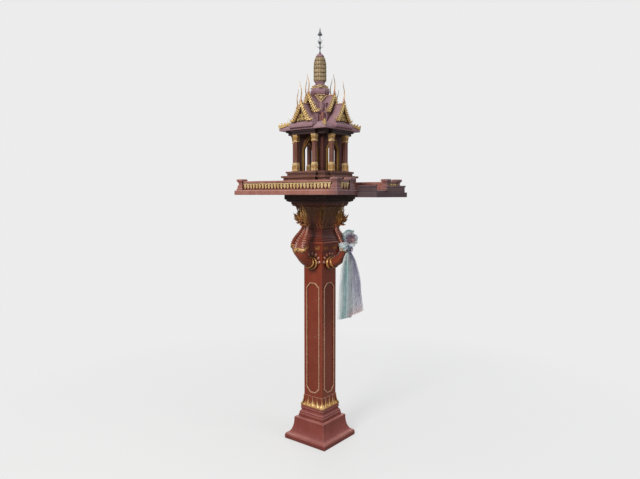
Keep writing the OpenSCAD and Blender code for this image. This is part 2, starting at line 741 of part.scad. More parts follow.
// a toothed gable board on one side of the ridge, and its mirror image; the top is cut flat
module gable_board(w, h) {
  n = 2 * board_teeth;
  m = gable_side(w, h, n);
  k = gable_side(w - board_w, h - board_w * 1.8, n);
  outer = [for (i = [0:n - 1]) m[i] + (i % 2 == 1 ? [7, 6] : [2, 1])];
  for (s = [0, 1]) mirror([s, 0])
    polygon(concat([[w + 11, 10], [w + 2, -2]], [[w - board_w, 0]], k, [[0, h - 2], [chofa_foot, h - 2]],
      [for (i = [n - 1:-1:1]) outer[i]]));
}
module lower_boards() {
  color(gold) four() on_front(gable1_out, board_t) translate([0, roof_z]) gable_board(gable_hw, gable_h);
}
module upper_boards() {
  color(gold) four() on_front(gable2_out, board_t) translate([0, gable2_z]) gable_board(gable_hw, gable_h);
}
module tympana() {
  color(gold) four() {
    on_front(gable1_out - 12, 5) translate([0, roof_z]) gable_plan(gable_hw - board_w - fit, gable_h - 30 - fit);
    on_front(gable2_out - 8, 3) translate([0, gable2_z]) gable_plan(gable_hw - board_w - fit, gable_h - 30 - fit);
  }
}
// a bud with a slender double-curved spike
module chofa_shape(h) {
  n = 16;
  spine = [for (i = [0:n]) let (t = i / n) [7 * sin(300 * t) * (0.3 + t), h * (0.18 + 0.82 * t)]];
  wid = [for (i = [0:n]) let (t = i / n) 5.5 * pow(1 - t, 0.8) + 0.9];
  polygon(concat([[-chofa_foot, 0], [chofa_foot, 0], [7, h * 0.08]],
    [for (i = [0:n]) spine[i] + [wid[i], 0]], [for (i = [n:-1:0]) spine[i] - [wid[i], 0]], [[-7, h * 0.08]]));
}
module chofas() {
  color(gold) four() {
    translate([0, 0, roof_z + gable_h - 2]) on_front(gable1_out + 0.5, board_t - 1) chofa_shape(chofa_h);
    translate([0, 0, gable2_z + gable_h - 2]) on_front(gable2_out + 0.5, board_t - 1) chofa_shape(chofa_h);
  }
}

// faceted bowl: two square mouldings crossed
module spire_bowl() {
  b = bowl_half;
  prof = [[b - 4, 0], [b - 4, 5], [b, 12], [b + 3, bowl_h * 0.5], [b + 2, bowl_h * 0.75], [b - 2, bowl_h - 5],
    [b - 6, bowl_h]];
  color(mauve) translate([0, 0, bowl_z]) intersection() {
    square_moulding(prof);
    rotate(45) square_moulding(grown(prof, 1));
  }
}
// nested gold chevrons on the faces of the turned pedestal, cut to lie above the gable roofs
module spire_garlands() {
  drop = ped_h * 0.9;
  color(gold) difference() {
    translate([0, 0, bowl_z]) rotate(45) four() on_front(ped_half, 4) {
      for (k = [0, 1]) let (w = ped_half - 3 - 15 * k, d = drop * w / ped_half)
        polygon([[-w, -1], [0, -d], [w, -1], [w - 9, -1], [0, -d + 11], [-w + 9, -1]]);
      translate([0, -6]) circle(5);
    }
    for (a = [0, 90]) rotate(a) on_front(-gable2_out, 2 * gable2_out)
      translate([0, gable2_z]) gable_plan(gable_hw + 0.5, gable_h + 0.5);
  }
}
module spire_crown() {
  r = cob_d / 2;
  b = bowl_half;
  k = crown_h / 44;
  color(mauve) translate([0, 0, crown_z]) {
    square_moulding([[b - 14, 0], [b - 14, 4 * k], [b - 6, 6 * k], [b - 6, 10 * k], [b - 13, 12 * k],
      [b - 13, 15 * k], [b - 9, 17 * k], [b - 9, 20 * k], [b - 16, 22 * k]]);
    translate([0, 0, 22 * k]) rotate_extrude() polygon([[0, 0], [r - 9, 0], [r - 9, 3 * k], [r - 11, 6 * k],
      [r - 10, crown_h * 0.34], [r - 6, crown_h * 0.42], [r - 6, crown_h * 0.5], [0, crown_h * 0.5]]);
  }
}
// corncob spire: grooved tiers under a rounded head
module corncob_spire() {
  r = cob_d / 2;
  th = cob_h / cob_tiers;
  function rad(z) = let (k = (z / cob_h - 0.62) / 0.38) k < 0 ? r : r * sqrt(max(1 - 0.86 * k * k, 0.02));
  prof = [for (i = [0:cob_tiers - 1]) each let (z = i * th)
    [[rad(z) - 4, z], [rad(z) - 4, z + 4], [rad(z + 7), z + 7], [rad(z + th - 3), z + th - 3], [rad(z + th) - 4, z + th]]];
  color(gold) translate([0, 0, cob_z]) difference() {
    rotate_extrude() polygon(concat([[0, 0]], prof, [[0, cob_h]]));
    for (i = [0:cob_grooves - 1]) rotate(i * 360 / cob_grooves) translate([r + 1.5, 0, -1])
      cylinder(h = cob_h * 0.82, r = 3.4, $fn = 16);
  }
}
// metal finial: rod, leaves and a small umbrella
module finial() {
  color(metal) translate([0, 0, finial_z]) {
    rotate_extrude() polygon([[0, 0], [rod_d, 0], [rod_d * 0.9, 4], [rod_d / 2, 8], [rod_d / 2, 28], [rod_d, 32],
      [rod_d, 36], [rod_d / 2 - 0.6, 40], [rod_d / 2 - 1, finial_h * 0.7], [15, finial_h * 0.72], [14, finial_h * 0.76],
      [4, finial_h * 0.88], [1.2, finial_h], [0, finial_h]]);
    for (a = [0, 90]) rotate(a) rotate([90, 0, 0]) linear_extrude(2, center = true)
      polygon([[-3, 34], [-14, 44], [-17, 62], [-10, 54], [-12, 78], [-5, 66], [0, 92], [5, 66], [12, 78], [10, 54],
        [17, 62], [14, 44], [3, 34]]);
  }
}
// the sash tied round the hood of the front serpent, drawn plainly as a loop and knot with two tails
module sash() {
  h = hood_half + 7;
  z = elbow_z + 40;
  y = elbow[0] + body_r + 1 + fit;
  color(cloth) union() {
    difference() {
      union() {
        on_neck() translate([0, 0, 46]) linear_extrude(14)
          polygon([[-h, 12], [-h + 12, 24], [h - 12, 24], [h, 12], [h, -20], [h - 14, -32], [14 - h, -32], [-h, -20]]);
        translate([-15, -y - 1, z + 18]) cube([30, 45, 24]);
      }
      hood(fit);
    }
    on_front(y, sash_t) translate([0, z]) {
      circle(28);
      translate([0, 26]) circle(24);
      for (k = [-1, 1])
        polygon([[0, 10], [k * 24, -8], [k * sash_w / 2, -sash_drop], [k * 8, -sash_drop + 30], [0, -40]]);
    }
  }
}

base_plinth();
base_steps();
lotus_band();
pillar_shaft();
panel_beads();
shaft_collar();
collar_curls();
capital_neck();
lotus_capital();
abacus();
naga();  // naga_front
rotate(180) naga();  // naga_back
rotate(-90) naga();  // naga_left
rotate(90) naga();  // naga_right
naga_gilding();
platform_slab();
front_landing();
platform_rails();
rail_petals();
platform_posts();
landing_rails();
plinth_lower();
plinth_upper();
porch_columns();
column_bases();
column_capitals();
shrine_walls();
door_frames();
entablature();
eave_roof();
corner_horns();
roof_core();
lower_gables();
upper_gables();
lower_boards();
upper_boards();
tympana();
chofas();
spire_bowl();
spire_garlands();
spire_crown();
corncob_spire();
finial();
sash();
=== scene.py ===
"""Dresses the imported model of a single-pillar spirit house with its ornament, paint and sash."""

import math
from types import SimpleNamespace

import bmesh
import bpy
from bpy.props import FloatProperty, FloatVectorProperty, IntProperty, PointerProperty
from bpy.types import Operator, Panel, PropertyGroup
from mathutils import Matrix, Vector, noise


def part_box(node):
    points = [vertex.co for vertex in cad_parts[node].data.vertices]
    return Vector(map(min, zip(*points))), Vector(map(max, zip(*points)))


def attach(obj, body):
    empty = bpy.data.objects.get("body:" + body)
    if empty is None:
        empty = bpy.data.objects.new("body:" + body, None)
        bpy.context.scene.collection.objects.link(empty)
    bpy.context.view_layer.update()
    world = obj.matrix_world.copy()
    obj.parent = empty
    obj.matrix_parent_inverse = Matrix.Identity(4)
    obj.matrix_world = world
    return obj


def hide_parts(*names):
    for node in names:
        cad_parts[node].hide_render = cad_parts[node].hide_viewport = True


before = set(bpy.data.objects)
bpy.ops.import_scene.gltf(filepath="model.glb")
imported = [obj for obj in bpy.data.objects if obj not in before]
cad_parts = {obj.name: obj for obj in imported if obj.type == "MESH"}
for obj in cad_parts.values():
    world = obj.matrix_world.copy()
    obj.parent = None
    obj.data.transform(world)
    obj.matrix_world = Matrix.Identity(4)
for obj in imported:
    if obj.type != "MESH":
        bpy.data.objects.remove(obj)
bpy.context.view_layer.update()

bl_info = {
    "name": "Spirit House Dresser",
    "version": (1, 0, 0),
    "blender": (4, 5, 0),
    "location": "View3D > Sidebar > Spirit House",
    "description": "Adds the serpents, gilt ornament, paint and sash to the packed model",
    "category": "Object",
}

MM = 0.001
QUARTERS = [Matrix.Rotation(math.radians(a), 4, "Z") for a in (0, 90, 180, 270)]
EIGHTH = Matrix.Rotation(math.radians(45), 4, "Z")


def high(node):
    """Highest corner of a node's box, in millimetres."""
    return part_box(node)[1] / MM


def low(node):
    """Lowest corner of a node's box, in millimetres."""
    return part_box(node)[0] / MM


SHAFT = high("pillar_shaft").x
ROOF_Z = low("roof_core").z
GABLE2_Z = high("roof_core").z
GABLE1_OUT = low("lower_boards").y * -1
GABLE2_OUT = low("upper_boards").y * -1
GABLES = ((GABLE1_OUT, ROOF_Z), (GABLE2_OUT, GABLE2_Z))
SHRINE_Z = high("plinth_upper").z
EAVE_Z = low("eave_roof").z
# sizes of the cast parts that their boxes don't give, in millimetres
EAVE_HALF, EAVE_EDGE, DRUM_HALF = 172.0, 11.0, 110.0
GABLE_HALF, GABLE_RISE = 64.0, 108.0
NECK_HALF = 56.0
COLUMN_X, COLUMN_Y = 68, 138
PETAL_PITCH = 24.0
RAIL_HALF_X, RAIL_HALF_Y, GATE_HALF, POST = 309, 350, 162, 46


# ---------------------------------------------------------------- sizes and colours


def linear(code):
    """Linear colour of an sRGB hex code."""
    parts = [int(code[i : i + 2], 16) / 255 for i in (0, 2, 4)]
    return tuple(c / 12.92 if c <= 0.04045 else ((c + 0.055) / 1.055) ** 2.4 for c in parts)


def colour(name, code, words):
    """A colour property whose default is an sRGB hex code."""
    return FloatVectorProperty(
        name=name, description=words, subtype="COLOR", min=0, max=1, default=linear(code)
    )


class SPIRIT_PG_finish(PropertyGroup):
    red: colour("Red paint", "893720", "Brick-red enamel of the pillar and the shrine")
    faded: colour("Faded red", "8b4038", "Enamel bleached by the sun on the base")
    pink: colour("Platform pink", "9b6156", "Sun-bleached paint of the platform and its rails")
    mauve: colour("Roof mauve", "926e76", "Faded paint of the roofs")
    gold: colour("Gold paint", "c9904a", "Bronze-powder paint of the ornament")
    pale_gold: colour("Roof gold", "c69c55", "Weathered gold paint of the gables and the rails")
    aqua: colour("Sash aqua", "78bcc0", "Blue-green side of the sheer sash")
    lavender: colour("Sash lavender", "9a98bc", "Lavender side of the sheer sash")


class SPIRIT_PG_sizes(PropertyGroup):
    bead: FloatProperty(
        name="Bead radius", description="Radius of the beads on the gable boards",
        default=4.9, min=1, max=6,
    )
    leaf: FloatProperty(
        name="Leaf height", description="Height of the flame leaves along the gables, mm",
        default=18.0, min=5, max=30,
    )
    leaves: IntProperty(
        name="Leaves", description="Flame leaves on each side of a gable", default=9, min=3, max=16
    )
    ribs: IntProperty(
        name="Belly ribs", description="Ribs on the hood of each serpent", default=13, min=4, max=20
    )
    locks: IntProperty(
        name="Mane locks", description="Gilt locks on each side of a serpent's head",
        default=9, min=3, max=14,
    )
    pleats: IntProperty(
        name="Sash pleats", description="Pleats across each tail of the sash",
        default=13, min=3, max=20,
    )


# ---------------------------------------------------------------- shaping helpers


def through(rows, steps):
    """Rows of numbers along one smooth curve that passes through the given rows."""
    out = []
    last = len(rows) - 1
    for i in range(last):
        group = [rows[max(i - 1, 0)], rows[i], rows[i + 1], rows[min(i + 2, last)]]
        for s in range(steps):
            t = s / steps
            out.append([
                0.5 * (2 * b + (c - a) * t + (2 * a - 5 * b + 4 * c - d) * t * t
                       + (3 * b - a - 3 * c + d) * t**3)
                for a, b, c, d in zip(*group)
            ])
    out.append(list(rows[-1]))
    return out


def to_mesh(bm):
    """Turns a finished small bmesh into mesh data that can be stamped."""
    mesh = bpy.data.meshes.new("stamp")
    bm.to_mesh(mesh)
    bm.free()
    return mesh


def bridge(bm, before, ring):
    """Joins a ring of corners to the edges of the ring before it and returns its own edges."""
    inside = set(ring)
    edges = list(dict.fromkeys(e for v in ring for e in v.link_edges if e.other_vert(v) in inside))
    if before:
        bmesh.ops.bridge_loops(bm, edges=before + edges)
    return edges


def limb(rows, side=(1, 0, 0), segments=8):
    """A closed limb through rows of x, y, z, half width along side and half width across it."""
    bm = bmesh.new()
    path = [Vector(r[:3]) for r in rows]
    last = len(rows) - 1
    before = []
    for i, row in enumerate(rows):
        ahead = (path[min(i + 1, last)] - path[max(i - 1, 0)]).normalized()
        across = Vector(side) - ahead * ahead.dot(Vector(side))
        across.normalize()
        up = ahead.cross(across)
        place = Matrix((across * row[3], up * row[4], ahead)).transposed().to_4x4()
        place.translation = path[i]
        ring = bmesh.ops.create_circle(
            bm, cap_ends=i in (0, last), segments=segments, radius=1, matrix=place
        )["verts"]
        before = bridge(bm, before, ring)
    bmesh.ops.recalc_face_normals(bm, faces=bm.faces)
    return to_mesh(bm)


def square_rings(bm, rings):
    """Adds the four walls through square rings of half width and height."""
    before = []
    for half, z in rings:
        ring = bmesh.ops.create_circle(
            bm, segments=4, radius=half * math.sqrt(2), matrix=at(0, 0, z) @ EIGHTH
        )["verts"]
        before = bridge(bm, before, ring)


def ball(radius, stretch=(1, 1, 1), u=10, v=7):
    """A bead or bud, stretched along its axes."""
    bm = bmesh.new()
    bmesh.ops.create_uvsphere(
        bm, u_segments=u, v_segments=v, radius=radius, matrix=Matrix.Diagonal((*stretch, 1))
    )
    return to_mesh(bm)


def lathe(profile, steps=48):
    """A turned shape about the z axis from rows of radius and height."""
    bm = bmesh.new()
    verts = [bm.verts.new((r, 0, z)) for r, z in profile]
    edges = [bm.edges.new(pair) for pair in zip(verts, verts[1:])]
    bmesh.ops.spin(
        bm, geom=verts + edges, cent=(0, 0, 0), axis=(0, 0, 1), angle=math.tau,
        steps=steps, use_merge=True, use_duplicate=False,
    )
    bmesh.ops.remove_doubles(bm, verts=bm.verts, dist=1e-4)
    bmesh.ops.recalc_face_normals(bm, faces=bm.faces)
    return to_mesh(bm)


def stamp(bm, mesh, place=None, material=0, drop=False):
    """Adds a copy of mesh data to bm at a place, painted with one of the piece's finishes."""
    copy = mesh.copy()
    if place is not None:
        copy.transform(place)
        if place.determinant() < 0:
            copy.flip_normals()
    copy.polygons.foreach_set("material_index", [material] * len(copy.polygons))
    bm.from_mesh(copy)
    bpy.data.meshes.remove(copy)
    if drop:
        bpy.data.meshes.remove(mesh)


def around(bm, parts):
    """Adds every part, a mesh, place and material, to each of the four sides."""
    for mesh, place, material in parts:
        for turn in QUARTERS:
            stamp(bm, mesh, turn @ place, material)
    for mesh in {p[0] for p in parts}:
        bpy.data.meshes.remove(mesh)


def both_sides(parts):
    """The parts and their mirror images across the middle of a side."""
    mirror = Matrix.Diagonal((-1, 1, 1, 1))
    return parts + [(mesh, mirror @ place, material) for mesh, place, material in parts]


AT = Matrix.Identity(4)


def at(x, y, z):
    """A place without a turn."""
    return Matrix.Translation((x, y, z))


def add_piece(name, bm, finishes, stands_for=(), sharp=38):
    """Makes a piece of the scene from a bmesh drawn in millimetres."""
    bmesh.ops.scale(bm, vec=(MM, MM, MM), verts=bm.verts)
    mesh = bpy.data.meshes.new(name)
    bm.to_mesh(mesh)
    bm.free()
    for finish in finishes:
        mesh.materials.append(finish_material(finish))
    mesh.shade_smooth()
    mesh.set_sharp_from_angle(angle=math.radians(sharp))
    piece = bpy.data.objects.new(name, mesh)
    bpy.context.scene.collection.objects.link(piece)
    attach(piece, "root")
    if stands_for:
        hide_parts(*stands_for)
    return piece


def add_around(name, parts, finishes, stands_for=(), sharp=38):
    """Makes a piece of the scene from parts that repeat on the four sides."""
    bm = bmesh.new()
    around(bm, parts)
    add_piece(name, bm, finishes, stands_for, sharp)


# ---------------------------------------------------------------- finishes


def add_node(tree, kind, settings=None, inputs=None):
    """Adds a node, sets what it is told and links the sockets that it is given."""
    made = tree.nodes.new(kind)
    for key, value in (settings or {}).items():
        setattr(made, key, value)
    for key, value in (inputs or {}).items():
        if isinstance(value, bpy.types.NodeSocket):
            tree.links.new(value, made.inputs[key])
        else:
            made.inputs[key].default_value = value
    return made


def ramp(tree, source, low_at, high_at, low_to=0.0, high_to=1.0):
    """A number mapped from one range to another and held inside it."""
    return add_node(
        tree, "ShaderNodeMapRange", {"clamp": True},
        {0: source, 1: low_at, 2: high_at, 3: low_to, 4: high_to},
    ).outputs[0]


def mixed(tree, share, first, second, blend="MIX"):
    """Two colours mixed by a share."""
    return add_node(
        tree, "ShaderNodeMix", {"data_type": "RGBA", "blend_type": blend, "clamp_factor": True},
        {0: share, 6: first, 7: second},
    ).outputs[2]


def rgba(value):
    """A colour with full alpha."""
    return (*value, 1.0)


def combined(tree, operation, first, second=0.0):
    """Two numbers put together by a math node."""
    return add_node(tree, "ShaderNodeMath", {"operation": operation}, {0: first, 1: second}).outputs[0]


def split(tree, vector):
    """The three sockets of a vector's parts."""
    return add_node(tree, "ShaderNodeSeparateXYZ", None, {0: vector}).outputs


def cloud(tree, where, scale, detail, roughness=0.5):
    """A soft random pattern over places."""
    return add_node(tree, "ShaderNodeTexNoise", None, {
        "Vector": where, "Scale": scale, "Detail": detail, "Roughness": roughness,
    }).outputs[0]


def coats(tree, shade, *rows):
    """Lays colours on a shade, each up to a share as its mask runs between two values."""
    for mask, start, end, most, tint in rows:
        shade = mixed(tree, ramp(tree, mask, start, end, 0.0, most), shade, rgba(tint))
    return shade


def relief(tree, height, strength, depth_mm, under=None, invert=False):
    """A bump of a real depth, laid over the one under it."""
    inputs = {"Strength": strength, "Distance": depth_mm * MM, "Height": height}
    if under is not None:
        inputs["Normal"] = under
    return add_node(tree, "ShaderNodeBump", {"invert": invert}, inputs).outputs[0]


def blank_material(name):
    """A new material and its emptied node tree."""
    material = bpy.data.materials.new(name)
    material.use_nodes = True
    material.node_tree.nodes.clear()
    return material, material.node_tree


def show(tree, surface, kind="ShaderNodeOutputMaterial"):
    """Ends a node tree with the surface that it shows."""
    add_node(tree, kind, None, {"Surface": surface})


def show_principled(tree, inputs):
    """Ends a material with a principled surface."""
    show(tree, add_node(tree, "ShaderNodeBsdfPrincipled", None, inputs).outputs[0])


# the smoke on the platform's front edge: where it starts and ends, in metres, and what it leaves
SOOT_FRONT = (-0.31, -0.38)
SOOT_FILTER = (0.42, 0.6, 0.86)


def surface_masks(tree, edge_mm, cavity_mm):
    """Patterns in real size shared by the paints: tone, mottle, streaks, edges and hollows."""
    spot = add_node(tree, "ShaderNodeTexCoord").outputs["Object"]
    # rain runs down the paint in streaks 15 mm wide and 150 mm long
    tall = add_node(tree, "ShaderNodeMapping", None, {0: spot, 3: (60.0, 60.0, 5.5)}).outputs[0]
    true = add_node(tree, "ShaderNodeNewGeometry").outputs["Normal"]
    soft = add_node(tree, "ShaderNodeBevel", {"samples": 6}, {"Radius": edge_mm * MM}).outputs[0]
    along = add_node(tree, "ShaderNodeVectorMath", {"operation": "DOT_PRODUCT"},
                     {0: true, 1: soft}).outputs["Value"]
    open_sky = add_node(tree, "ShaderNodeAmbientOcclusion", {"samples": 6},
                        {"Distance": cavity_mm * MM}).outputs["AO"]
    return SimpleNamespace(
        spot=spot,
        tone=cloud(tree, spot, 9.0, 4.0, 0.6),
        # brush marks and orange peel about 5 mm apart
        mottle=cloud(tree, spot, 190.0, 5.0, 0.65),
        streak=cloud(tree, tall, 1.0, 3.0, 0.55),
        # rounded arrises: the paints lay wear and a painted highlight here
        edge=ramp(tree, along, 0.985, 0.78),
        # hollows that see little open sky: the paints lay painted shade here
        hollow=ramp(tree, open_sky, 0.95, 0.35),
        upward=ramp(tree, split(tree, true)[2], 0.55, 0.95),
    )


def painted_cement(name, body, pale, deep, dust_wear_and_highlight, roughness, coat, sunk=0.0, worn=3.5, soot=0.0):
    """Enamel brushed on cast cement: mottled, streaked, worn pale with a painted highlight on its edges,
    painted shade in hollows.
    """
    material, tree = blank_material(name)
    masks = surface_masks(tree, worn, 34)
    tone, mottle, streak = masks.tone, masks.mottle, masks.streak
    # the deep colour laid in the hollows is painted shade
    shade = coats(
        tree, rgba(body), (tone, 0.4, 0.66, 0.7, pale), (mottle, 0.42, 0.72, 0.38, deep),
        (streak, 0.52, 0.74, 0.3, deep), (streak, 0.42, 0.28, 0.3, pale),
        (masks.hollow, 0.0, 1.0, 0.8, deep),
    )
    if sunk:
        # the sunk panels are a little darker and browner
        x_away, y_away = (combined(tree, "ABSOLUTE", part) for part in split(tree, masks.spot)[:2])
        reach = combined(tree, "MAXIMUM", x_away, y_away)
        shade = coats(tree, shade, (reach, sunk * MM, (sunk - 0.6) * MM, 0.2, deep))
    dusty = combined(tree, "MULTIPLY", masks.upward, ramp(tree, tone, 0.3, 0.6, 0.35, 0.85))
    shade = mixed(tree, dusty, shade, rgba(dust_wear_and_highlight))
    # the edges are worn pale and carry a painted highlight
    rubbed = combined(tree, "MULTIPLY", masks.edge, ramp(tree, mottle, 0.36, 0.56, 0.25, 0.85))
    shade = mixed(tree, rubbed, shade, rgba(dust_wear_and_highlight))
    if soot:
        # the front edge, where offerings burn, is grey-brown with wax and soot
        sooty = combined(tree, "MULTIPLY", ramp(tree, split(tree, masks.spot)[1], *SOOT_FRONT),
                         ramp(tree, tone, 0.35, 0.6, 0.7 * soot, soot))
        shade = mixed(tree, sooty, shade, rgba(SOOT_FILTER), "MULTIPLY")
    # chips a few millimetres across show the grey cement
    chips = add_node(tree, "ShaderNodeTexVoronoi", {"feature": "F1"},
                     {"Vector": masks.spot, "Scale": 42.0, "Randomness": 1.0}).outputs[0]
    chipped = combined(tree, "MULTIPLY", ramp(tree, chips, 0.15, 0.1), ramp(tree, tone, 0.56, 0.61))
    shade = mixed(tree, chipped, shade, rgba(linear("8f8680")))
    bump = relief(tree, cloud(tree, masks.spot, 38.0, 2.0), 0.35, 2.2)
    bump = relief(tree, mottle, 0.5, 0.6, bump)
    bump = relief(tree, chipped, 0.6, 0.8, bump, invert=True)
    show_principled(tree, {
        "Base Color": shade,
        "Roughness": ramp(tree, mottle, 0.3, 0.7, roughness - 0.07, roughness + 0.13),
        "Normal": bump, "Coat Weight": coat, "Coat Roughness": 0.28,
    })
    return material


def gold_paint(name, body, pale, deep, metallic, roughness):
    """Bronze-powder paint on relief: bright on what stands out, with a painted highlight on its edges and
    painted red-brown shade in its hollows.
    """
    material, tree = blank_material(name)
    masks = surface_masks(tree, 2.0, 9)
    # painted red-brown shade goes in the hollows, a pale painted highlight on the edges
    shade = coats(
        tree, rgba(body), (masks.tone, 0.35, 0.65, 0.6, pale), (masks.mottle, 0.52, 0.74, 0.5, deep),
        (masks.streak, 0.56, 0.74, 0.35, deep), (masks.hollow, 0.1, 0.85, 0.9, deep),
        (masks.edge, 0.0, 1.0, 0.75, pale),
    )
    show_principled(tree, {
        "Base Color": shade, "Metallic": metallic,
        "Roughness": ramp(tree, masks.mottle, 0.3, 0.7, roughness - 0.08, roughness + 0.15),
        "Normal": relief(tree, masks.mottle, 0.4, 0.6),
    })
    return material


def weathered_iron(name, grey, light, rust, hollow_shade):
    """Cast metal under old silver paint: grey-blue, dull, spotted with brown rust, with painted shade in
    its hollows.
    """
    material, tree = blank_material(name)
    masks = surface_masks(tree, 1.5, 8)
    # the dark colour in the hollows is painted shade
    shade = coats(
        tree, rgba(grey), (masks.mottle, 0.3, 0.7, 1.0, light), (masks.mottle, 0.58, 0.7, 0.8, rust),
        (masks.hollow, 0.0, 1.0, 0.6, hollow_shade),
    )
    show_principled(tree, {
        "Base Color": shade, "Metallic": 0.4,
        "Roughness": ramp(tree, masks.mottle, 0.3, 0.7, 0.45, 0.7),
        "Normal": relief(tree, masks.mottle, 0.5, 0.5),
    })
    return material


def sheer_tulle(name, aqua, lavender, thin, thick):
    """Nylon tulle: see-through, denser where gathered, aqua turning lavender across its width."""
    material, tree = blank_material(name)
    weave = add_node(tree, "ShaderNodeUVMap", {"uv_map": "cloth"}).outputs[0]
    across, along = split(tree, weave)[:2]
    drift = cloud(tree, weave, 3.0, 2.0)
    where = combined(tree, "ADD", across, ramp(tree, drift, 0.3, 0.7, -0.07, 0.07))
    shade = coats(
        tree, rgba(linear("e2ebec")), (where, 0.04, 0.2, 1.0, aqua),
        (where, 0.44, 0.56, 1.0, linear("d8dee2")), (where, 0.62, 0.8, 1.0, lavender),
    )
    # the dye runs to pink towards the hem of the lavender end
    hem = combined(tree, "MULTIPLY", ramp(tree, along, 0.84, 1.0), ramp(tree, where, 0.5, 0.62))
    shade = mixed(tree, hem, shade, rgba(linear("e2bfc4")))
    # the net's holes are under 2 mm; soft bands of a few millimetres stand for its crumpled threads
    threads = add_node(tree, "ShaderNodeTexWave", {"wave_type": "BANDS", "bands_direction": "X"},
                       {"Vector": weave, "Scale": 64.0, "Distortion": 2.5, "Detail": 2.0}).outputs[1]
    show_principled(tree, {
        "Base Color": coats(tree, shade, (threads, 0.2, 0.9, 0.2, linear("f2f4f5"))),
        "Roughness": 0.62, "Alpha": ramp(tree, threads, 0.0, 1.0, thin, thick),
        "Normal": relief(tree, threads, 0.2, 0.5), "Sheen Weight": 0.3, "Sheen Roughness": 0.4,
        "Transmission Weight": 0.0,
    })
    return material


# each finish: its maker, its colours as hex codes or by their names in the panel, and its numbers
FINISHES = {
    # glossy brick-red enamel on cement: warm and slightly wet-looking, rubbed pink and given a painted
    # highlight on the arrises
    "red enamel": (painted_cement, "red 97442b 42180f b06a56", {"roughness": 0.3, "coat": 0.4}),
    # the same enamel on the shaft, a shade browner inside the sunk panels
    "shaft enamel": (painted_cement, "red 95442b 641f0f ac624c",
                     {"roughness": 0.3, "coat": 0.4, "sunk": SHAFT - 1.2}),
    # the same enamel near the ground, bleached and dusty, nearly matt
    "sun-faded red enamel": (painted_cement, "faded 9b5046 5a2721 bd8177",
                             {"roughness": 0.42, "coat": 0.2, "worn": 5.5}),
    # the columns and the shrine's steps, darkened with painted shade under the eave and dull
    "eave-shaded red enamel": (painted_cement, "70402f 8d6054 36201b a58479",
                         {"roughness": 0.5, "coat": 0.12}),
    # the capital and its neck, shaded by the platform and never bleached: wine-brown and glossy, darkened
    # with painted shade
    "deep red enamel": (painted_cement, "6c2c1f 833e2d 33120d 8d5040", {"roughness": 0.3, "coat": 0.4}),
    # the landing, stained brown by wax, dust and rain
    "grimy pink paint": (painted_cement, "533d40 635156 2f2223 7c6f72", {"roughness": 0.7, "coat": 0.0}),
    # chalky old paint of the platform, worn to pale pink where the sun and rain reach first, with a
    # painted highlight along its edges
    "bleached pink paint": (painted_cement, "pink ad776a 69362b cda99c",
                            {"roughness": 0.65, "coat": 0.05, "worn": 5.0, "soot": 0.9}),
    # chalking mauve paint with grey rain streaks
    "mauve roof paint": (painted_cement, "mauve a3858c 61393e b0949b", {"roughness": 0.6, "coat": 0.08}),
    # pale rose paint over the red on ribs, buds and ridge caps
    "rose enamel": (painted_cement, "b0705c d6a08c 62291d e6b9a4", {"roughness": 0.28, "coat": 0.4}),
    # the thin painted lines round the panels and on the foot band, between rose and gold
    "peach line": (painted_cement, "c39274 d3a88a 8d5c44 ddbb9f", {"roughness": 0.45, "coat": 0.2}),
    # the sheltered underside, near black with painted shade
    "shadow-dark red enamel": (painted_cement, "33191a 43241f 170b0c 4d332e", {"roughness": 0.55, "coat": 0.1}),
    # the walls of the little room, darkened with painted shade under the roof
    "shaded red enamel": (painted_cement, "5a2a22 6b352a 2a1210 7c4f43", {"roughness": 0.5, "coat": 0.1}),
    # bronze-powder paint, satin, with painted brown shade in the hollows
    "gold paint": (gold_paint, "gold f2cd92 4f2410", {"metallic": 0.4, "roughness": 0.32}),
    # the paint of the gables and the roof's corners, paler and chalkier from the weather
    "roof gold paint": (gold_paint, "pale_gold eed396 452a1a", {"metallic": 0.25, "roughness": 0.42}),
    # cream gold, the most bleached of all: rail petals, column ends, beads of gables and spire
    "rail gold paint": (gold_paint, "d9b06a f7e4b6 4a2a1a", {"metallic": 0.15, "roughness": 0.45}),
    # gold over red, rubbed through on the faces, so that it reads as orange bronze
    "gold rubbed to red": (gold_paint, "b8713a e3a66c 561f12", {"metallic": 0.35, "roughness": 0.32}),
    # gold paint after years of rain on the spire, greener and duller
    "old gold paint": (gold_paint, "8c7656 bea982 4c3530", {"metallic": 0.2, "roughness": 0.45}),
    # a thin, half-worn coat over the red of capital, doorways and gable tips, olive where it is thinnest
    "thin gold wash": (gold_paint, "8a652e bd9348 40200f", {"metallic": 0.35, "roughness": 0.38}),
    # the finial, the one metal part
    "weathered iron": (weathered_iron, "566068 737d86 6b4a38 3b3f45", {}),
    # one layer of nylon net: the background shows through it
    "sheer tulle": (sheer_tulle, "aqua lavender", {"thin": 0.4, "thick": 0.54}),
    # the same net bunched in the knot and the bow, where its layers hide what is behind
    "gathered tulle": (sheer_tulle, "aqua 7f80b2", {"thin": 0.6, "thick": 0.85}),
    # the heart of the rosette, a dusky rose brown
    "rose tulle": (sheer_tulle, "75788e 7b4c5b", {"thin": 0.6, "thick": 0.88}),
}


def finish_material(name):
    """The finish of that name, made the first time that it is asked for."""
    if name in bpy.data.materials:
        return bpy.data.materials[name]
    chosen = bpy.context.scene.spirit_finish
    maker, words, numbers = FINISHES[name]
    tints = [getattr(chosen, word, None) or linear(word) for word in words.split()]
    return maker(name, *tints, **numbers)


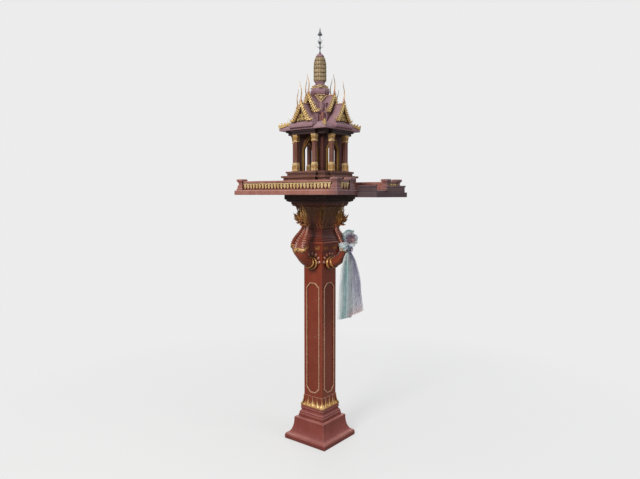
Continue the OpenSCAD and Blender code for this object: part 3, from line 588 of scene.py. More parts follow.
NODE_FINISHES = {
    "sun-faded red enamel": ("base_plinth", "base_steps"),
    "shaft enamel": ("pillar_shaft",),
    "peach line": ("panel_beads",),
    "red enamel": ("shaft_collar",),
    "gold rubbed to red": ("collar_curls",),
    "deep red enamel": ("capital_neck", "lotus_capital"),
    "shadow-dark red enamel": ("abacus", "entablature", "tympana"),
    "bleached pink paint": ("platform_slab", "platform_rails", "platform_posts"),
    "grimy pink paint": ("front_landing", "landing_rails"),
    "rail gold paint": ("rail_petals", "column_bases", "column_capitals", "spire_garlands"),
    "eave-shaded red enamel": ("plinth_lower", "plinth_upper", "porch_columns"),
    "shaded red enamel": ("shrine_walls",),
    "thin gold wash": ("door_frames", "lower_boards", "upper_boards"),
    "mauve roof paint": ("eave_roof", "roof_core", "lower_gables", "upper_gables", "spire_bowl"),
}


class SPIRIT_OT_paint_casting(Operator):
    """Paint the cast nodes that keep their own shape"""

    bl_idname = "spirit.paint_casting"
    bl_label = "Paint the casting"

    def execute(self, context):
        for finish, names in NODE_FINISHES.items():
            for name in names:
                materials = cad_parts[name].data.materials
                materials.clear()
                materials.append(finish_material(finish))
        return {"FINISHED"}


# ---------------------------------------------------------------- serpents

# rows down the middle of a serpent: distance from the axis, height, half width, half thickness
BODY = [
    (58, 1094, 33, 33), (84, 1094, 32, 31), (110, 1099, 31, 28), (138, 1112, 32, 26),
    (163, 1132, 34, 25), (182, 1157, 37, 23), (189, 1184, 38, 17), (183, 1210, 37, 11),
    (166, 1238, 32, 9), (146, 1264, 23, 9), (129, 1289, 16, 10), (123, 1309, 13.5, 11.5),
    (130, 1328, 14.5, 13.5), (144, 1344, 17, 16), (158, 1353, 17, 15),
]
UPPER_JAW = [(142, 1354, 17, 14), (158, 1361, 18, 13.5), (174, 1361, 14, 9), (188, 1363, 10, 6),
             (198, 1371, 6.5, 4.5), (203, 1381, 2.5, 2)]
LOWER_JAW = [(140, 1336, 15, 11), (156, 1330, 14, 7), (172, 1325, 10.5, 4.5), (187, 1327, 6, 2.6)]
# the row of the smoothed body that carries the collar, and how far out and up the mane may reach
COLLAR_ROW = 30
MANE_OUT, MANE_TOP = 203, 1440


def plane_rows(rows):
    """Rows in a serpent's own plane turned into rows for a limb on the front side."""
    return [(0, -u, z, wide, thick) for u, z, wide, thick in rows]


def serpent_parts(sizes):
    """Red and rose parts of one serpent on the front side: body, hood ribs, root buds."""
    body = through(plane_rows(BODY), 5)
    parts = [(limb(body, segments=20), AT, 0)]
    # two cords up the outer face of the hood, ribbed like a belly, with a hollow between them
    spine = through(plane_rows(BODY[6:13]), 6)

    def cord_spot(share, s, around_cord, lift):
        """A place on a cord: share along it, angle round it and height over its skin."""
        k = min(int(share * (len(spine) - 1)), len(spine) - 2)
        f = share * (len(spine) - 1) - k
        row = [a + (b - a) * f for a, b in zip(spine[k], spine[k + 1])]
        ahead = (Vector(spine[k + 1][:3]) - Vector(spine[k][:3])).normalized()
        out = Vector((1, 0, 0)).cross(ahead)
        out = -out if out.y > 0 else out
        wide = row[3] * 0.37
        sideways = s * row[3] * 0.66 + math.sin(around_cord) * (wide + lift)
        outward = row[4] * 0.45 + 2 + math.cos(around_cord) * (wide * 0.75 + lift)
        return Vector(row[:3]) + Vector((sideways, 0, 0)) + out * outward, ahead, wide

    for s in (-1, 1):
        rows = []
        for i in range(25):
            spot, ahead, wide = cord_spot(i / 24, s, 0.0, -1.0)
            centre = cord_spot(i / 24, s, math.pi / 2, 0)[0] - Vector((wide, 0, 0))
            rows.append((*centre, wide, wide * 0.75))
        parts.append((limb(rows, segments=12), AT, 0))
        for i in range(sizes.ribs):
            share = (i + 0.7) / (sizes.ribs + 0.6)
            rib = []
            for j in range(9):
                turn = math.radians(-88 + 176 * j / 8)
                spot, ahead, wide = cord_spot(share, s, turn, 0.6)
                rib.append((*(spot + ahead * 4 * s * math.sin(turn)), 3.4, 2.6 - 1.2 * abs(j - 4) / 4))
            parts.append((limb(rib, side=ahead, segments=8), AT, 1))
    # leaf buds fanned on the shaft over the root
    bud = ball(1, (9.5, 8, 15))
    for x, z, tilt in ((0, 1147, 0), (23, 1140, 28), (41, 1123, 56), (47, 1100, 82)):
        place = at(x, -SHAFT - 2, z) @ Matrix.Rotation(math.radians(tilt), 4, "Y")
        parts += [(bud, place, 1)] if x == 0 else both_sides([(bud, place, 1)])
    # the open mouth: gums and tongue
    mouth = plane_rows([(140, 1346, 13, 10), (160, 1345, 12, 9), (178, 1343, 8, 6)])
    parts.append((limb(through(mouth, 3), segments=12), AT, 0))
    return parts


def flame(base, tip, bend, wide, thick, side=(1, 0, 0), steps=7, blunt=0.75):
    """A tapering flame lock from base to tip that bows by the bend vector."""
    base, tip, bend = Vector(base), Vector(tip), Vector(bend)
    rows = []
    for i in range(steps + 1):
        t = i / steps
        spot = base.lerp(tip, t) + bend * math.sin(math.pi * t) - bend * 0.35 * math.sin(math.tau * t)
        swell = 0.55 + 0.45 * math.sin(math.pi * min(1, t * 1.5 + 0.1))
        fade = (1 - t) ** blunt + 0.04
        rows.append((*spot, wide * swell * fade, thick * swell * fade))
    return limb(rows, side=side, segments=8)


def gilding_parts(sizes):
    """Gold parts of one serpent on the front side: cups, collar, jaws, mane and crest."""
    parts = []
    body = through(plane_rows(BODY), 5)

    def frame_at(index):
        ahead = (Vector(body[index + 1][:3]) - Vector(body[index - 1][:3])).normalized()
        up = ahead.cross(Vector((1, 0, 0)))
        return Vector(body[index][:3]), ahead, up if up.y < 0 else -up

    def ring_at(index, grow, tube, crescent=0.0, sag=0.0):
        middle, ahead, out = frame_at(index)
        wide, thick = body[index][3:]
        rows = []
        for j in range(37):
            a = math.tau * j / 36
            c, s = math.cos(a), math.sin(a)
            spot = (middle + Vector((1, 0, 0)) * c * (wide + grow) + out * s * (thick + grow)
                    - ahead * sag * c * c)
            fat = tube + crescent * abs(c) ** 1.5
            rows.append((*spot, fat, 0.7 * fat))
        return limb(rows, side=ahead, segments=8)

    # two flared cups where the tail leaves the shaft, thick at the flanks and thin on top,
    # and the two rims of the collar under the hood
    for ring in ((5, 4.5, 3.4, 4.0, 3), (10, 2.5, 3.2, 3.4, 3), (31, 2, 4.2), (29, 1.5, 3.0)):
        parts.append((ring_at(*ring), AT, 0))
    # the collar's two hanging lobes, which follow the furrow
    middle, ahead, out = frame_at(COLLAR_ROW)
    wide, thick = body[COLLAR_ROW][3:]
    for s in (-1, 1):
        for j in range(7):
            turn = math.radians(s * (16 + 11.5 * j))
            spot = (middle + Vector((math.sin(turn) * (wide + 1), 0, 0))
                    + out * math.cos(turn) ** 0.7 * (thick + 2))
            drop = 21 - 2.4 * abs(j - 2.5)
            lobe = flame(spot + ahead * 4, spot - ahead * drop + out * 2, out * 2.5, 7.5, 4.4,
                         side=ahead.cross(out))
            parts.append((lobe, AT, 0))
    # jaws, brows and curled nose
    for jaw, segments in ((UPPER_JAW, 14), (LOWER_JAW, 12)):
        parts.append((limb(through(plane_rows(jaw), 3), segments=segments), AT, 1))
    parts.append((flame((0, -196, 1368), (0, -209, 1394), (0, -5, 0), 5, 5), AT, 1))
    parts += both_sides([(flame((15, -150, 1366), (10, -190, 1374), (3, 0, 5), 4, 4), AT, 0)])
    for i in range(4):
        x, y = 12 - i * 1.8, -(160 + i * 7)
        fang = flame((x, y, 1353), (x, y - 1, 1341), (0, 0, 0), 2.2, 2.2, steps=3)
        parts += both_sides([(fang, AT, 0)])
    parts += both_sides([(ball(5.2), at(15, -164, 1369), 0)])
    # mane: three rows of close-packed locks that fan out and up from behind the jaw
    for row, (reach, spread, fat) in enumerate(((42, 29, 9.4), (31, 24, 8.8), (21, 20, 7.8))):
        count = sizes.locks - 1 - 2 * row
        for i in range(count):
            t = i / (count - 1)
            a = math.radians(2 - 14 * row + (70 + 10 * row) * t)
            c, s = math.cos(a), math.sin(a)
            x0, x1 = 14 - 5 * t, spread - 15 * t - 2 * row
            far = reach * (1 + 0.12 * math.sin(math.pi * t) + 0.24 * t)
            base = (x0, -(138 + 10 * c + 3 * row), 1350 + 12 * s)
            tip = (x1, -min(143 + far * c + 4 * row, MANE_OUT), min(1352 + far * s, MANE_TOP))
            curl = (6 * math.sin(math.pi * t) + 3, 6 * s + 2, -5 * c)
            lock = flame(base, tip, curl, fat, fat * 0.85, side=(0.6, -0.4, 0.7), blunt=0.45)
            parts += both_sides([(lock, AT, row % 2)])
    # scrolls on the cheeks and under the chin
    for u, z, r in ((146, 1338, 10), (160, 1326, 7), (134, 1322, 8)):
        scroll = spiral(r, 1.3, 3.0)
        turn = Matrix.Rotation(math.radians(90), 4, "Z")
        parts += both_sides([(scroll, at(18, -u, z) @ turn, 1)])
    # crest: a tall carved spike made of flames that stand in front of each other
    for u0, z0, u1, z1, bow, wide, deep in (
        (162, 1360, 178, 1455, 10, 7.5, 14), (154, 1360, 166, 1436, 9, 8, 13),
        (147, 1356, 154, 1416, 8, 8, 12), (140, 1350, 143, 1396, 7, 7.5, 11),
        (133, 1340, 132, 1376, 6, 7, 10), (172, 1362, 190, 1420, 7, 7, 10),
    ):
        parts.append((flame((0, -u0, z0), (0, -u1, z1), (0, bow, -1), wide, deep), AT, 0))
    parts += both_sides([(flame((9, -156, 1362), (15, -170, 1422), (5, 7, 0), 7, 9), AT, 0)])
    parts += both_sides([(flame((7, -164, 1366), (9, -178, 1438), (4, 7, 0), 6, 9), AT, 0)])
    return parts


class SPIRIT_OT_serpents(Operator):
    """Model the four serpents that hold up the capital"""

    bl_idname = "spirit.serpents"
    bl_label = "Serpents"

    def execute(self, context):
        sizes = context.scene.spirit_sizes
        parts = serpent_parts(sizes)
        names = ("front", "right", "back", "left")
        for name, turn in zip(names, QUARTERS):
            bm = bmesh.new()
            for mesh, place, material in parts:
                stamp(bm, mesh, turn @ place, material)
            add_piece(f"serpent_{name}", bm, ["red enamel", "rose enamel"],
                      (f"naga_{name}",), sharp=60)
        for mesh in {p[0] for p in parts}:
            bpy.data.meshes.remove(mesh)
        add_around("serpent_gilding", gilding_parts(sizes), ["gold paint", "gold rubbed to red"],
                   ("naga_gilding",), sharp=60)
        return {"FINISHED"}


# ---------------------------------------------------------------- pillar ornament


def foot_flare(z):
    """Half width of the foot band's hollow ground at a height."""
    foot, top = low("lotus_band").z + 9, high("lotus_band").z
    rise = min(max((z - foot) / (top - foot), 0), 1)
    wide = high("lotus_band").x - 6
    return SHAFT + 1 + (wide - SHAFT - 1) * (1 - math.sqrt(max(0.0, 1 - (1 - rise) ** 2)))


def foot_petal(share, width, tall, lift, corner=False):
    """An upright flame at a share of the half width, broad at its foot and drawn out to a line."""
    foot = low("lotus_band").z
    rows = []
    for i in range(12):
        t = i / 11
        z = foot + 3 + (tall - 3) * t
        half = foot_flare(z)
        swell = (1 - t) ** 2.2 * (1 + 0.8 * math.sin(math.pi * min(1, t * 1.6)))
        out = lift * (1 - 0.55 * t)
        if corner:
            spot = (half + out * 0.5, -half - out * 0.5, z)
        else:
            spot = (share * half, -half - out * 0.6, z)
        rows.append((*spot, 0.5 * width * swell + 1.9 * (1 - 0.35 * t), 1.4 + out * 0.5))
    return limb(rows, side=(1, 1, 0) if corner else (1, 0, 0), segments=8)


class SPIRIT_OT_foot_band(Operator):
    """Model the band of upright gilt flames at the foot of the shaft"""

    bl_idname = "spirit.foot_band"
    bl_label = "Foot band"

    def execute(self, context):
        foot, top = low("lotus_band").z, high("lotus_band").z
        wide = high("lotus_band").x - 4
        bm = bmesh.new()
        # square ground with a hollow flare
        heights = [foot + 8 + (top - foot - 8) * i / 12 for i in range(13)]
        square_rings(bm, [(SHAFT + 0.4, foot), (wide, foot), (wide, foot + 7)]
                     + [(foot_flare(z), z) for z in heights])
        parts = []
        for share in (-0.5, 0, 0.5):
            parts.append((foot_petal(share, 19, top - foot - 1, 3.2), AT, 1))
            ridge = [(share * foot_flare(foot + z), -foot_flare(foot + z) - 2.6, foot + z, 1.5, 1.5)
                     for z in (24, 34, 44, 54, top - foot - 2)]
            parts.append((limb(ridge, segments=6), AT, 3))
        parts += [(foot_petal(i / 4, 13, 34, 2.6), AT, 1) for i in range(-3, 4, 2)]
        parts += [(foot_petal(i / 8, 9, 23, 2.6), AT, 1) for i in range(-7, 8, 2)]
        parts.append((foot_petal(1, 20, top - foot - 1, 3.2, corner=True), AT, 1))
        # gilt border along the foot and a thin painted line along the top
        border = [(x * (wide - 1), -wide + 0.6, foot + 4.4, 3.2, 4.2) for x in (-1, -0.5, 0, 0.5, 1)]
        parts.append((limb(border, side=(0, 1, 0), segments=10), AT, 1))
        line = [(x * (SHAFT + 1), -SHAFT - 0.8, top - 2, 1.3, 1.6) for x in (-1, 0, 1)]
        parts.append((limb(line, side=(0, 1, 0), segments=8), AT, 2))
        around(bm, parts)
        add_piece("foot_band", bm, ["red enamel", "gold paint", "rose enamel", "peach line"],
                  ("lotus_band",))
        return {"FINISHED"}


def capital_out(z):
    """Half width of the capital's flare at a height, without its petals."""
    foot, lip = low("lotus_capital").z + 6, high("lotus_capital").z - 22.2
    rise = min(max((z - foot) / (lip - foot), 0), 1)
    wide = high("lotus_capital").x - 5
    return NECK_HALF + (wide - NECK_HALF) * (1 - math.sqrt(max(0.0, 1 - rise * rise)))


class SPIRIT_OT_capital_gilding(Operator):
    """Outline the capital's petals with gilt ribs"""

    bl_idname = "spirit.capital_gilding"
    bl_label = "Capital gilding"

    def execute(self, context):
        foot, lip = low("lotus_capital").z, high("lotus_capital").z - 18
        petals, wide = 5, high("lotus_capital").x - 8
        shoulder = wide * 0.98
        parts = []

        def height(t):
            return foot + 10 + (lip - foot - 10) * t

        for i in range(petals):
            k0 = i / petals * 2 - 1 + 0.05
            k1 = (i + 1) / petals * 2 - 1 - 0.05
            # the petal's two edges, which meet at its tip
            for edge in (k0, k1):
                rows = []
                for j in range(15):
                    t = 0.16 + 0.84 * j / 14
                    if t < 0.8:
                        x = edge * (NECK_HALF + (shoulder - NECK_HALF) * t / 0.8)
                    else:
                        s = (t - 0.8) / 0.2
                        x = wide * (edge * 0.98 * (1 - s) + (k0 + k1) / 2 * s)
                    z = height(t)
                    rows.append((x, -capital_out(z) - 5.2, z, 0.6 + 1.7 * t, 0.8 + 1.1 * t))
                parts.append((limb(rows, segments=6), AT, 0))
            # veins inside each petal, fanned from its foot
            for share in (0.32, 0.68):
                lean = k0 + (k1 - k0) * share
                rows = []
                for j in range(11):
                    t = 0.46 + 0.4 * j / 10
                    x = lean * (NECK_HALF + (shoulder - NECK_HALF) * min(1, t / 0.86))
                    z = height(t)
                    fine = 1.6 * math.sin(math.pi * (j + 1) / 12)
                    rows.append((x, -capital_out(z) - 5.2, z, fine, 1.4))
                parts.append((limb(rows, segments=5), AT, 0))
        # small upright leaves at the foot of the capital, each with a gilt edge
        for i in range(-2, 3):
            for s in (-1, 1):
                rows = [(i * NECK_HALF * 0.44 + s * 9 * math.cos(math.radians(90 * t)),
                         -NECK_HALF - 7.6, foot + 3 + 22 * t, 0.9, 0.9)
                        for t in (0, 0.2, 0.4, 0.6, 0.8, 0.95)]
                parts.append((limb(rows, segments=6), AT, 0))
        add_around("capital_gilding", parts, ["thin gold wash"])
        return {"FINISHED"}


# ---------------------------------------------------------------- shrine ornament


class SPIRIT_OT_column_gilding(Operator):
    """Add the gilt leaves and beads of the porch columns"""

    bl_idname = "spirit.column_gilding"
    bl_label = "Column gilding"

    def execute(self, context):
        foot, head = low("column_bases").z, high("column_capitals").z
        wide = high("column_bases").x - COLUMN_Y
        leaf_up = flame((0, 0, 0), (0, -1, 30), (0, -2.5, 0), 5.5, 2.8)
        leaf_down = flame((0, 0, 0), (0, 3.5, -26), (0, -1.5, 0), 5.0, 2.6)
        bead = ball(2.1, u=8, v=6)
        parts = []
        for sign in (-1, 1):
            for quarter in QUARTERS:
                turn = at(sign * COLUMN_X, -COLUMN_Y, 0) @ quarter
                for x in (-8.5, 0, 8.5):
                    parts.append((leaf_up, turn @ at(x, -wide + 2, foot + 12), 0))
                    parts.append((leaf_down, turn @ at(x, -wide, head - 9), 0))
                for x in (-12, -6, 0, 6, 12):
                    parts.append((bead, turn @ at(x, -wide + 0.4, foot + 6), 0))
                    parts.append((bead, turn @ at(x, -wide + 1.6, head - 39), 0))
        add_around("column_gilding", parts, ["gold paint"])
        return {"FINISHED"}


def door_outline(grow):
    """Right half of a doorway's outline, widened and raised by grow."""
    outline = ((46, 0), (46, 60), (46, 130), (42, 136), (23, 162), (15, 173), (0, 192))
    return [(x + grow * (x > 0), z + grow * (z > 140)) for x, z in outline]


class SPIRIT_OT_door_gilding(Operator):
    """Add the raised rims and beads of the four door frames"""

    bl_idname = "spirit.door_gilding"
    bl_label = "Door gilding"

    def execute(self, context):
        face = low("door_frames").y * -1
        sill = SHRINE_Z + 1
        parts = []
        for grow in (1.5, 12.5):
            rows = [(x, -face - 0.6, sill + z, 1.8, 1.8) for x, z in door_outline(grow)]
            parts.append((limb(through(rows, 4), segments=6), AT, 0))
        parts = both_sides(parts)
        bead = ball(2.9, (1, 0.8, 1), u=8, v=6)
        middle = through(door_outline(7), 6)
        walked = 0.0
        for before, spot in zip(middle, middle[1:]):
            walked += math.dist(before, spot)
            if walked > 8.5:
                walked = 0.0
                parts += both_sides([(bead, at(spot[0], -face - 0.4, sill + spot[1]), 0)])
        add_around("door_gilding", parts, ["thin gold wash"])
        return {"FINISHED"}


def gable_edge(inset, t):
    """A point on a gable's hollow side, a share t of the way up and set in by inset."""
    w, h = GABLE_HALF - inset, GABLE_RISE - inset * 1.3
    hollow = math.sin(math.pi * t)
    return (w * (1 - t) - w * 0.07 * hollow, h * t - h * 0.02 * hollow)


class SPIRIT_OT_gable_gilding(Operator):
    """Add the rims, beads, flame leaves and tail finials of the gable boards"""

    bl_idname = "spirit.gable_gilding"
    bl_label = "Gable gilding"

    def execute(self, context):
        sizes = context.scene.spirit_sizes
        half = GABLE_HALF
        bead = ball(sizes.bead, (1, 0.9, 1))
        parts = []
        for out, foot in GABLES:
            for inset, tube in ((-2.5, 2.6), (13.5, 2.4)):
                edge = [gable_edge(inset, i / 16) for i in range(17)]
                rows = [(x, -out - 0.8, foot + z, tube, tube) for x, z in edge]
                parts += both_sides([(limb(rows, segments=8), AT, 0)])
            for i in range(sizes.leaves):
                x, z = gable_edge(5.6, (i + 0.6) / sizes.leaves)
                parts += both_sides([(bead, at(x, -out - 1.4, foot + z), 1)])
            # the leaves lean forward, and every second one is paler
            for i in range(sizes.leaves):
                t = (i + 0.4) / sizes.leaves
                x, z = gable_edge(-2, t)
                tall = sizes.leaf * (0.85 + 0.3 * (1 - t))
                tip = (x + tall * 0.6, -out - 0.5, foot + z + tall * 0.85)
                leaf = flame((x - 1, -out + 3, foot + z), tip, (3, 0, -2), 5.4, 4.6, side=(1, 0, -1))
                parts += both_sides([(leaf, AT, 1 - i % 2)])
            # upturned tail finial at each foot of the board, and a spur beside it
            y = -out + 2
            for x0, z0, x1, z1, bend, wide, thick in (
                (half - 4, 4, half + 26, 30, (6, 0, -9), 5.5, 4.5),
                (half + 8, 2, half + 12, 22, (3, 0, 0), 3.4, 3),
            ):
                tail = flame((x0, y, foot + z0), (x1, y, foot + z1), bend, wide, thick, side=(0, 1, 0))
                parts += both_sides([(tail, AT, 0)])
        add_around("gable_gilding", parts, ["roof gold paint", "rail gold paint"])
        return {"FINISHED"}


def spiral(radius, turns, tube):
    """A scroll in the plane of the front side, thick at its root and fine at its eye."""
    rows = []
    steps = int(18 * turns)
    for i in range(steps + 1):
        t = i / steps
        a = math.tau * turns * t
        r = radius * (1 - 0.82 * t)
        rows.append((r * math.cos(a), 0, r * math.sin(a), tube * (1 - 0.55 * t), tube * (1 - 0.45 * t)))
    return limb(rows, side=(0, 1, 0), segments=6)


class SPIRIT_OT_gable_fields(Operator):
    """Fill the gable fields with scrolling relief round a flame"""

    bl_idname = "spirit.gable_fields"
    bl_label = "Gable fields"

    def execute(self, context):
        parts = []
        for out, foot in ((-low("tympana").y, ROOF_Z), (GABLE2_OUT - 12, GABLE2_Z)):
            y = -out - 1
            parts.append((flame((0, y, foot + 8), (0, -out - 2, foot + 66), (0, -2, 0), 7, 3.5), AT, 0))
            parts.append((ball(1, (6, 4, 6)), at(0, -out - 2, foot + 16), 0))
            for x, z, r in ((13, 13, 9.5), (31, 10, 8), (11, 35, 8), (24, 28, 5.5)):
                parts += both_sides([(spiral(r, 1.3, 3.4), at(x, -out - 1.2, foot + z), 0)])
            for x, z in ((38, 8), (20, 40), (31, 20)):
                leaf = flame((x - 3, y, foot + z - 3), (x + 5, y, foot + z + 9), (1.5, -1, 0), 2.8, 2)
                parts += both_sides([(leaf, AT, 0)])
        add_around("gable_scrolls", parts, ["roof gold paint"])
        return {"FINISHED"}


class SPIRIT_OT_sky_tassels(Operator):
    """Model the buds and slender curved finials on the eight gable tips"""

    bl_idname = "spirit.sky_tassels"
    bl_label = "Gable finials"

    def execute(self, context):
        parts = []
        tip = GABLE_RISE - 2
        tall = high("chofas").z - GABLE2_Z - tip
        for out, gable_foot in GABLES:
            y, foot = -out + 3.5, gable_foot + tip
            bud = [(0, y, foot + z, wide, deep) for z, wide, deep in (
                (-8, 4, 4), (0, 5.5, 4.5), (9, 7.5, 6.5), (18, 6.5, 5.8), (26, 3.6, 3.4), (32, 2.2, 2.2),
            )]
            parts.append((limb(through(bud, 4), segments=12), AT, 1))
            spike = []
            for i in range(25):
                t = i / 24
                x = 7 * math.sin(math.radians(300 * t)) * (0.3 + t)
                r = 2.6 * (1 - t) ** 0.8 + 0.75
                spike.append((x, y, foot + tall * (0.2 + 0.8 * t), r, r))
            parts.append((limb(spike), AT, 0))
            for i in range(6):
                a = math.tau * i / 6
                c, s = math.cos(a), math.sin(a)
                leaf = flame((c * 4, y + s * 3.5, foot - 4), (c * 8, y + s * 7, foot + 12),
                             (c * 3, s * 3, 0), 2.6, 1.6)
                parts.append((leaf, AT, 0))
        add_around("gable_finials", parts, ["thin gold wash", "rose enamel"], ("chofas",))
        return {"FINISHED"}


class SPIRIT_OT_hip_crests(Operator):
    """Model the gilt crests on the four hips of the eave"""

    bl_idname = "spirit.hip_crests"
    bl_label = "Hip crests"

    def execute(self, context):
        corner = EAVE_HALF * math.sqrt(2)
        slope = (ROOF_Z - EAVE_Z - EAVE_EDGE) / (corner - DRUM_HALF * math.sqrt(2))

        def spot(inward, lift):
            run = (corner - inward) / math.sqrt(2)
            return (-run, -run, EAVE_Z + EAVE_EDGE + inward * slope + lift)

        side = Vector((1, -1, 0))
        rows = [(*spot(s, lift), w, h) for s, lift, w, h in (
            (-3, 6, 2, 2), (6, 4, 6, 5), (24, 4, 7, 6), (46, 3, 6, 5), (66, 2, 4, 3), (74, 2, 1.5, 1.5),
        )]
        parts = [(limb(through(rows, 4), side=side, segments=10), AT, 0)]
        # crockets, each with a lower one in front of it
        for s, reach in ((5, 25), (21, 27), (38, 22), (55, 15)):
            for foot, tip, bend, wide, thick in (
                (spot(s + 5, 2), spot(s - 8, 4 + reach), (-3, -3, 6), 6.0, 10.5),
                (spot(s + 9, 2), spot(s + 2, 0.62 * reach), (2, 2, 3), 8.0, 7.0),
            ):
                parts.append((flame(foot, tip, bend, wide, thick, side=side), AT, 0))
        bead = ball(2.6, u=8, v=6)
        for s in (10, 28, 46, 62):
            for sign in (-1, 1):
                x, y, z = spot(s, 4)
                parts.append((bead, at(x + sign * 4, y - sign * 4, z + 1), 0))
        add_around("hip_crests", parts, ["roof gold paint"], ("corner_horns",))
        return {"FINISHED"}


class SPIRIT_OT_roof_trim(Operator):
    """Add the ridge caps and the striped corners of the roof"""

    bl_idname = "spirit.roof_trim"
    bl_label = "Roof trim"

    def execute(self, context):
        parts = []
        for (out, foot), back in zip(GABLES, (98, 38)):
            front = out - 7
            rows = [(0, -front + (front - back) * i / 6, foot + GABLE_RISE - 1.5, 4.5, 3.5)
                    for i in range(7)]
            parts.append((limb(rows, segments=10), AT, 0))
        # one rib on the corner of the core and two on each side of it
        corner = 87.5
        for x, y, tube in ((corner, corner, 3.4), (79, corner, 2.6), (corner, 79, 2.6),
                           (71, corner, 2.2), (corner, 71, 2.2)):
            rows = [(-x, -y, ROOF_Z + 1 + (GABLE2_Z - ROOF_Z - 2) * i / 4, tube, tube) for i in range(5)]
            parts.append((limb(rows), AT, 1))
        add_around("roof_trim", parts, ["rose enamel", "red enamel"])
        return {"FINISHED"}


def add_corncob():
    """The corncob spire: tiers of upright leaves under a bare rounded top."""
    foot = low("corncob_spire").z
    wide, tall = high("corncob_spire").x, high("corncob_spire").z - foot
    tiers, bars = 7, 14
    step, bare = tall / tiers, 0.86 * tall

    def reach(z):
        k = (z / tall - 0.5) / 0.5
        return wide if k < 0 else wide * math.sqrt(max(1 - 0.97 * k * k, 0.02))

    profile = [(0, 0)]
    for i in range(tiers):
        for dz, cut in ((0, 4.2), (1.6, 4.2), (2.8, 0.8), (8, 0), (step * 0.6, 0), (step - 3, 0.4),
                        (step - 1.4, 3.6)):
            z = i * step + dz
            profile.append((max(reach(z) - cut, 1), z))
    profile.append((0, tall))
    bm = bmesh.new()
    stamp(bm, lathe(profile, steps=72), at(0, 0, foot), 0, drop=True)
    for v in bm.verts:
        r = math.hypot(v.co.x, v.co.y)
        if r > 4 and v.co.z < foot + bare:
            a = math.atan2(v.co.y, v.co.x)
            cut = max(0.0, math.cos(bars * a)) ** 6 * 2.2
            v.co.x *= (r - cut) / r
            v.co.y *= (r - cut) / r
    # the gold was never carried over the rounded top
    for face in bm.faces:
        if face.calc_center_median().z > foot + bare:
            face.material_index = 1
    parts = []
    for i in range(tiers - 1):
        z = i * step
        leaf = flame((0, 1.5 - reach(z + 8), foot + z + 4),
                     (0, 0.4 - reach(z + step), foot + z + step - 4), (0, -0.6, 0), 5.0, 1.2, steps=5)
        for j in range(3):
            parts.append((leaf, Matrix.Rotation(math.radians(15 + 30 * j), 4, "Z"), 0))
    around(bm, parts)
    add_piece("corncob", bm, ["old gold paint", "mauve roof paint"], ("corncob_spire",),
              sharp=50)


def add_spire_beads():
    """The bead chains of the turned pedestal and the gilt rings over the bowl."""
    base, rim = low("spire_bowl").z, high("spire_bowl").z
    bead = ball(3.0, u=8, v=6)
    parts = []

    def string(count, pitch, y, height, turn):
        """A row of beads; height gives the z of the bead that many places off the middle."""
        for i in range(count):
            k = i - count // 2
            parts.append((bead, turn @ at(k * pitch, y, height(abs(k))), 0))

    # two chevrons of beads, one inside the other, and a short chain over them
    for wide, count in ((33.5, 9), (18.5, 5)):
        for i in range(count):
            t = i / (count - 1)
            for s in (-1, 1) if t < 1 else (1,):
                spot = at(s * wide * (1 - t), -45.4, base - 1 - wide * 0.954 * t)
                parts.append((bead, EIGHTH @ spot, 0))
    string(5, 4.6, -45.4, lambda k: base - 8 - 3.2 * (2 - k), EIGHTH)
    # gilt mouldings and beads on the rings over the bowl
    for half, z, tube in ((36, rim + 4, 3.6), (34, rim + 15, 3.0)):
        row = [(x * half, -half, z, tube, tube) for x in (-1, 0, 1)]
        parts.append((limb(row, side=(0, 0, 1)), AT, 0))
    string(7, 9.4, -33.5, lambda k: rim + 9.5, AT)
    # lowest bead row, where the bowl is tied to its pedestal
    string(9, 5.2, -49.6, lambda k: base + 3, EIGHTH)
    add_around("spire_beads", parts, ["rail gold paint"])


def add_spire_neck():
    """The stepped neck between the bowl and the corncob."""
    rim = high("spire_bowl").z
    bm = bmesh.new()
    square_rings(bm, [(half, rim + z) for half, z in (
        (44, 0), (40, 2), (33, 4), (33, 8), (29.5, 10), (29.5, 14), (32, 16), (32, 19), (27, 21), (27, 24),
    )])
    collar = [(0, 0), (30, 0), (30, 2), (26.5, 6), (27, 10), (30.5, 15), (31, 20), (0, 21)]
    stamp(bm, lathe(collar, steps=40), at(0, 0, rim + 23), 0, drop=True)
    add_piece("spire_neck", bm, ["mauve roof paint"], ("spire_crown",))


def add_finial():
    """The metal finial: a turned stem with two tiers of four leaves."""
    foot = low("finial").z
    profile = [(0, 0), (8, 0), (7.5, 3), (3.4, 7), (3, 24), (6, 28), (6.5, 31), (3, 36), (2.6, 60),
               (5, 64), (5.4, 67), (2.4, 71), (2.3, 98), (6.5, 103), (14.5, 106), (14, 109), (7, 119),
               (3.6, 129), (3, 136), (1.8, 142), (0.4, 150.5), (0, 151)]
    bm = bmesh.new()
    stamp(bm, lathe(profile, steps=32), at(0, 0, foot), 0, drop=True)
    upper = flame((0, -3, foot + 50), (0, -11, foot + 84), (0, -7, 0), 4.0, 1.3)
    lower = flame((0, -3, foot + 30), (0, -19, foot + 56), (0, -7, -4), 4.4, 1.3)
    around(bm, [(upper, AT, 0), (lower, EIGHTH, 0)])
    add_piece("spire_finial", bm, ["weathered iron"], ("finial",), sharp=50)


class SPIRIT_OT_spire(Operator):
    """Model the corncob spire, the bead rings of the bowl and the metal finial"""

    bl_idname = "spirit.spire"
    bl_label = "Spire"

    def execute(self, context):
        add_corncob()
        add_spire_beads()
        add_spire_neck()
        add_finial()
        return {"FINISHED"}


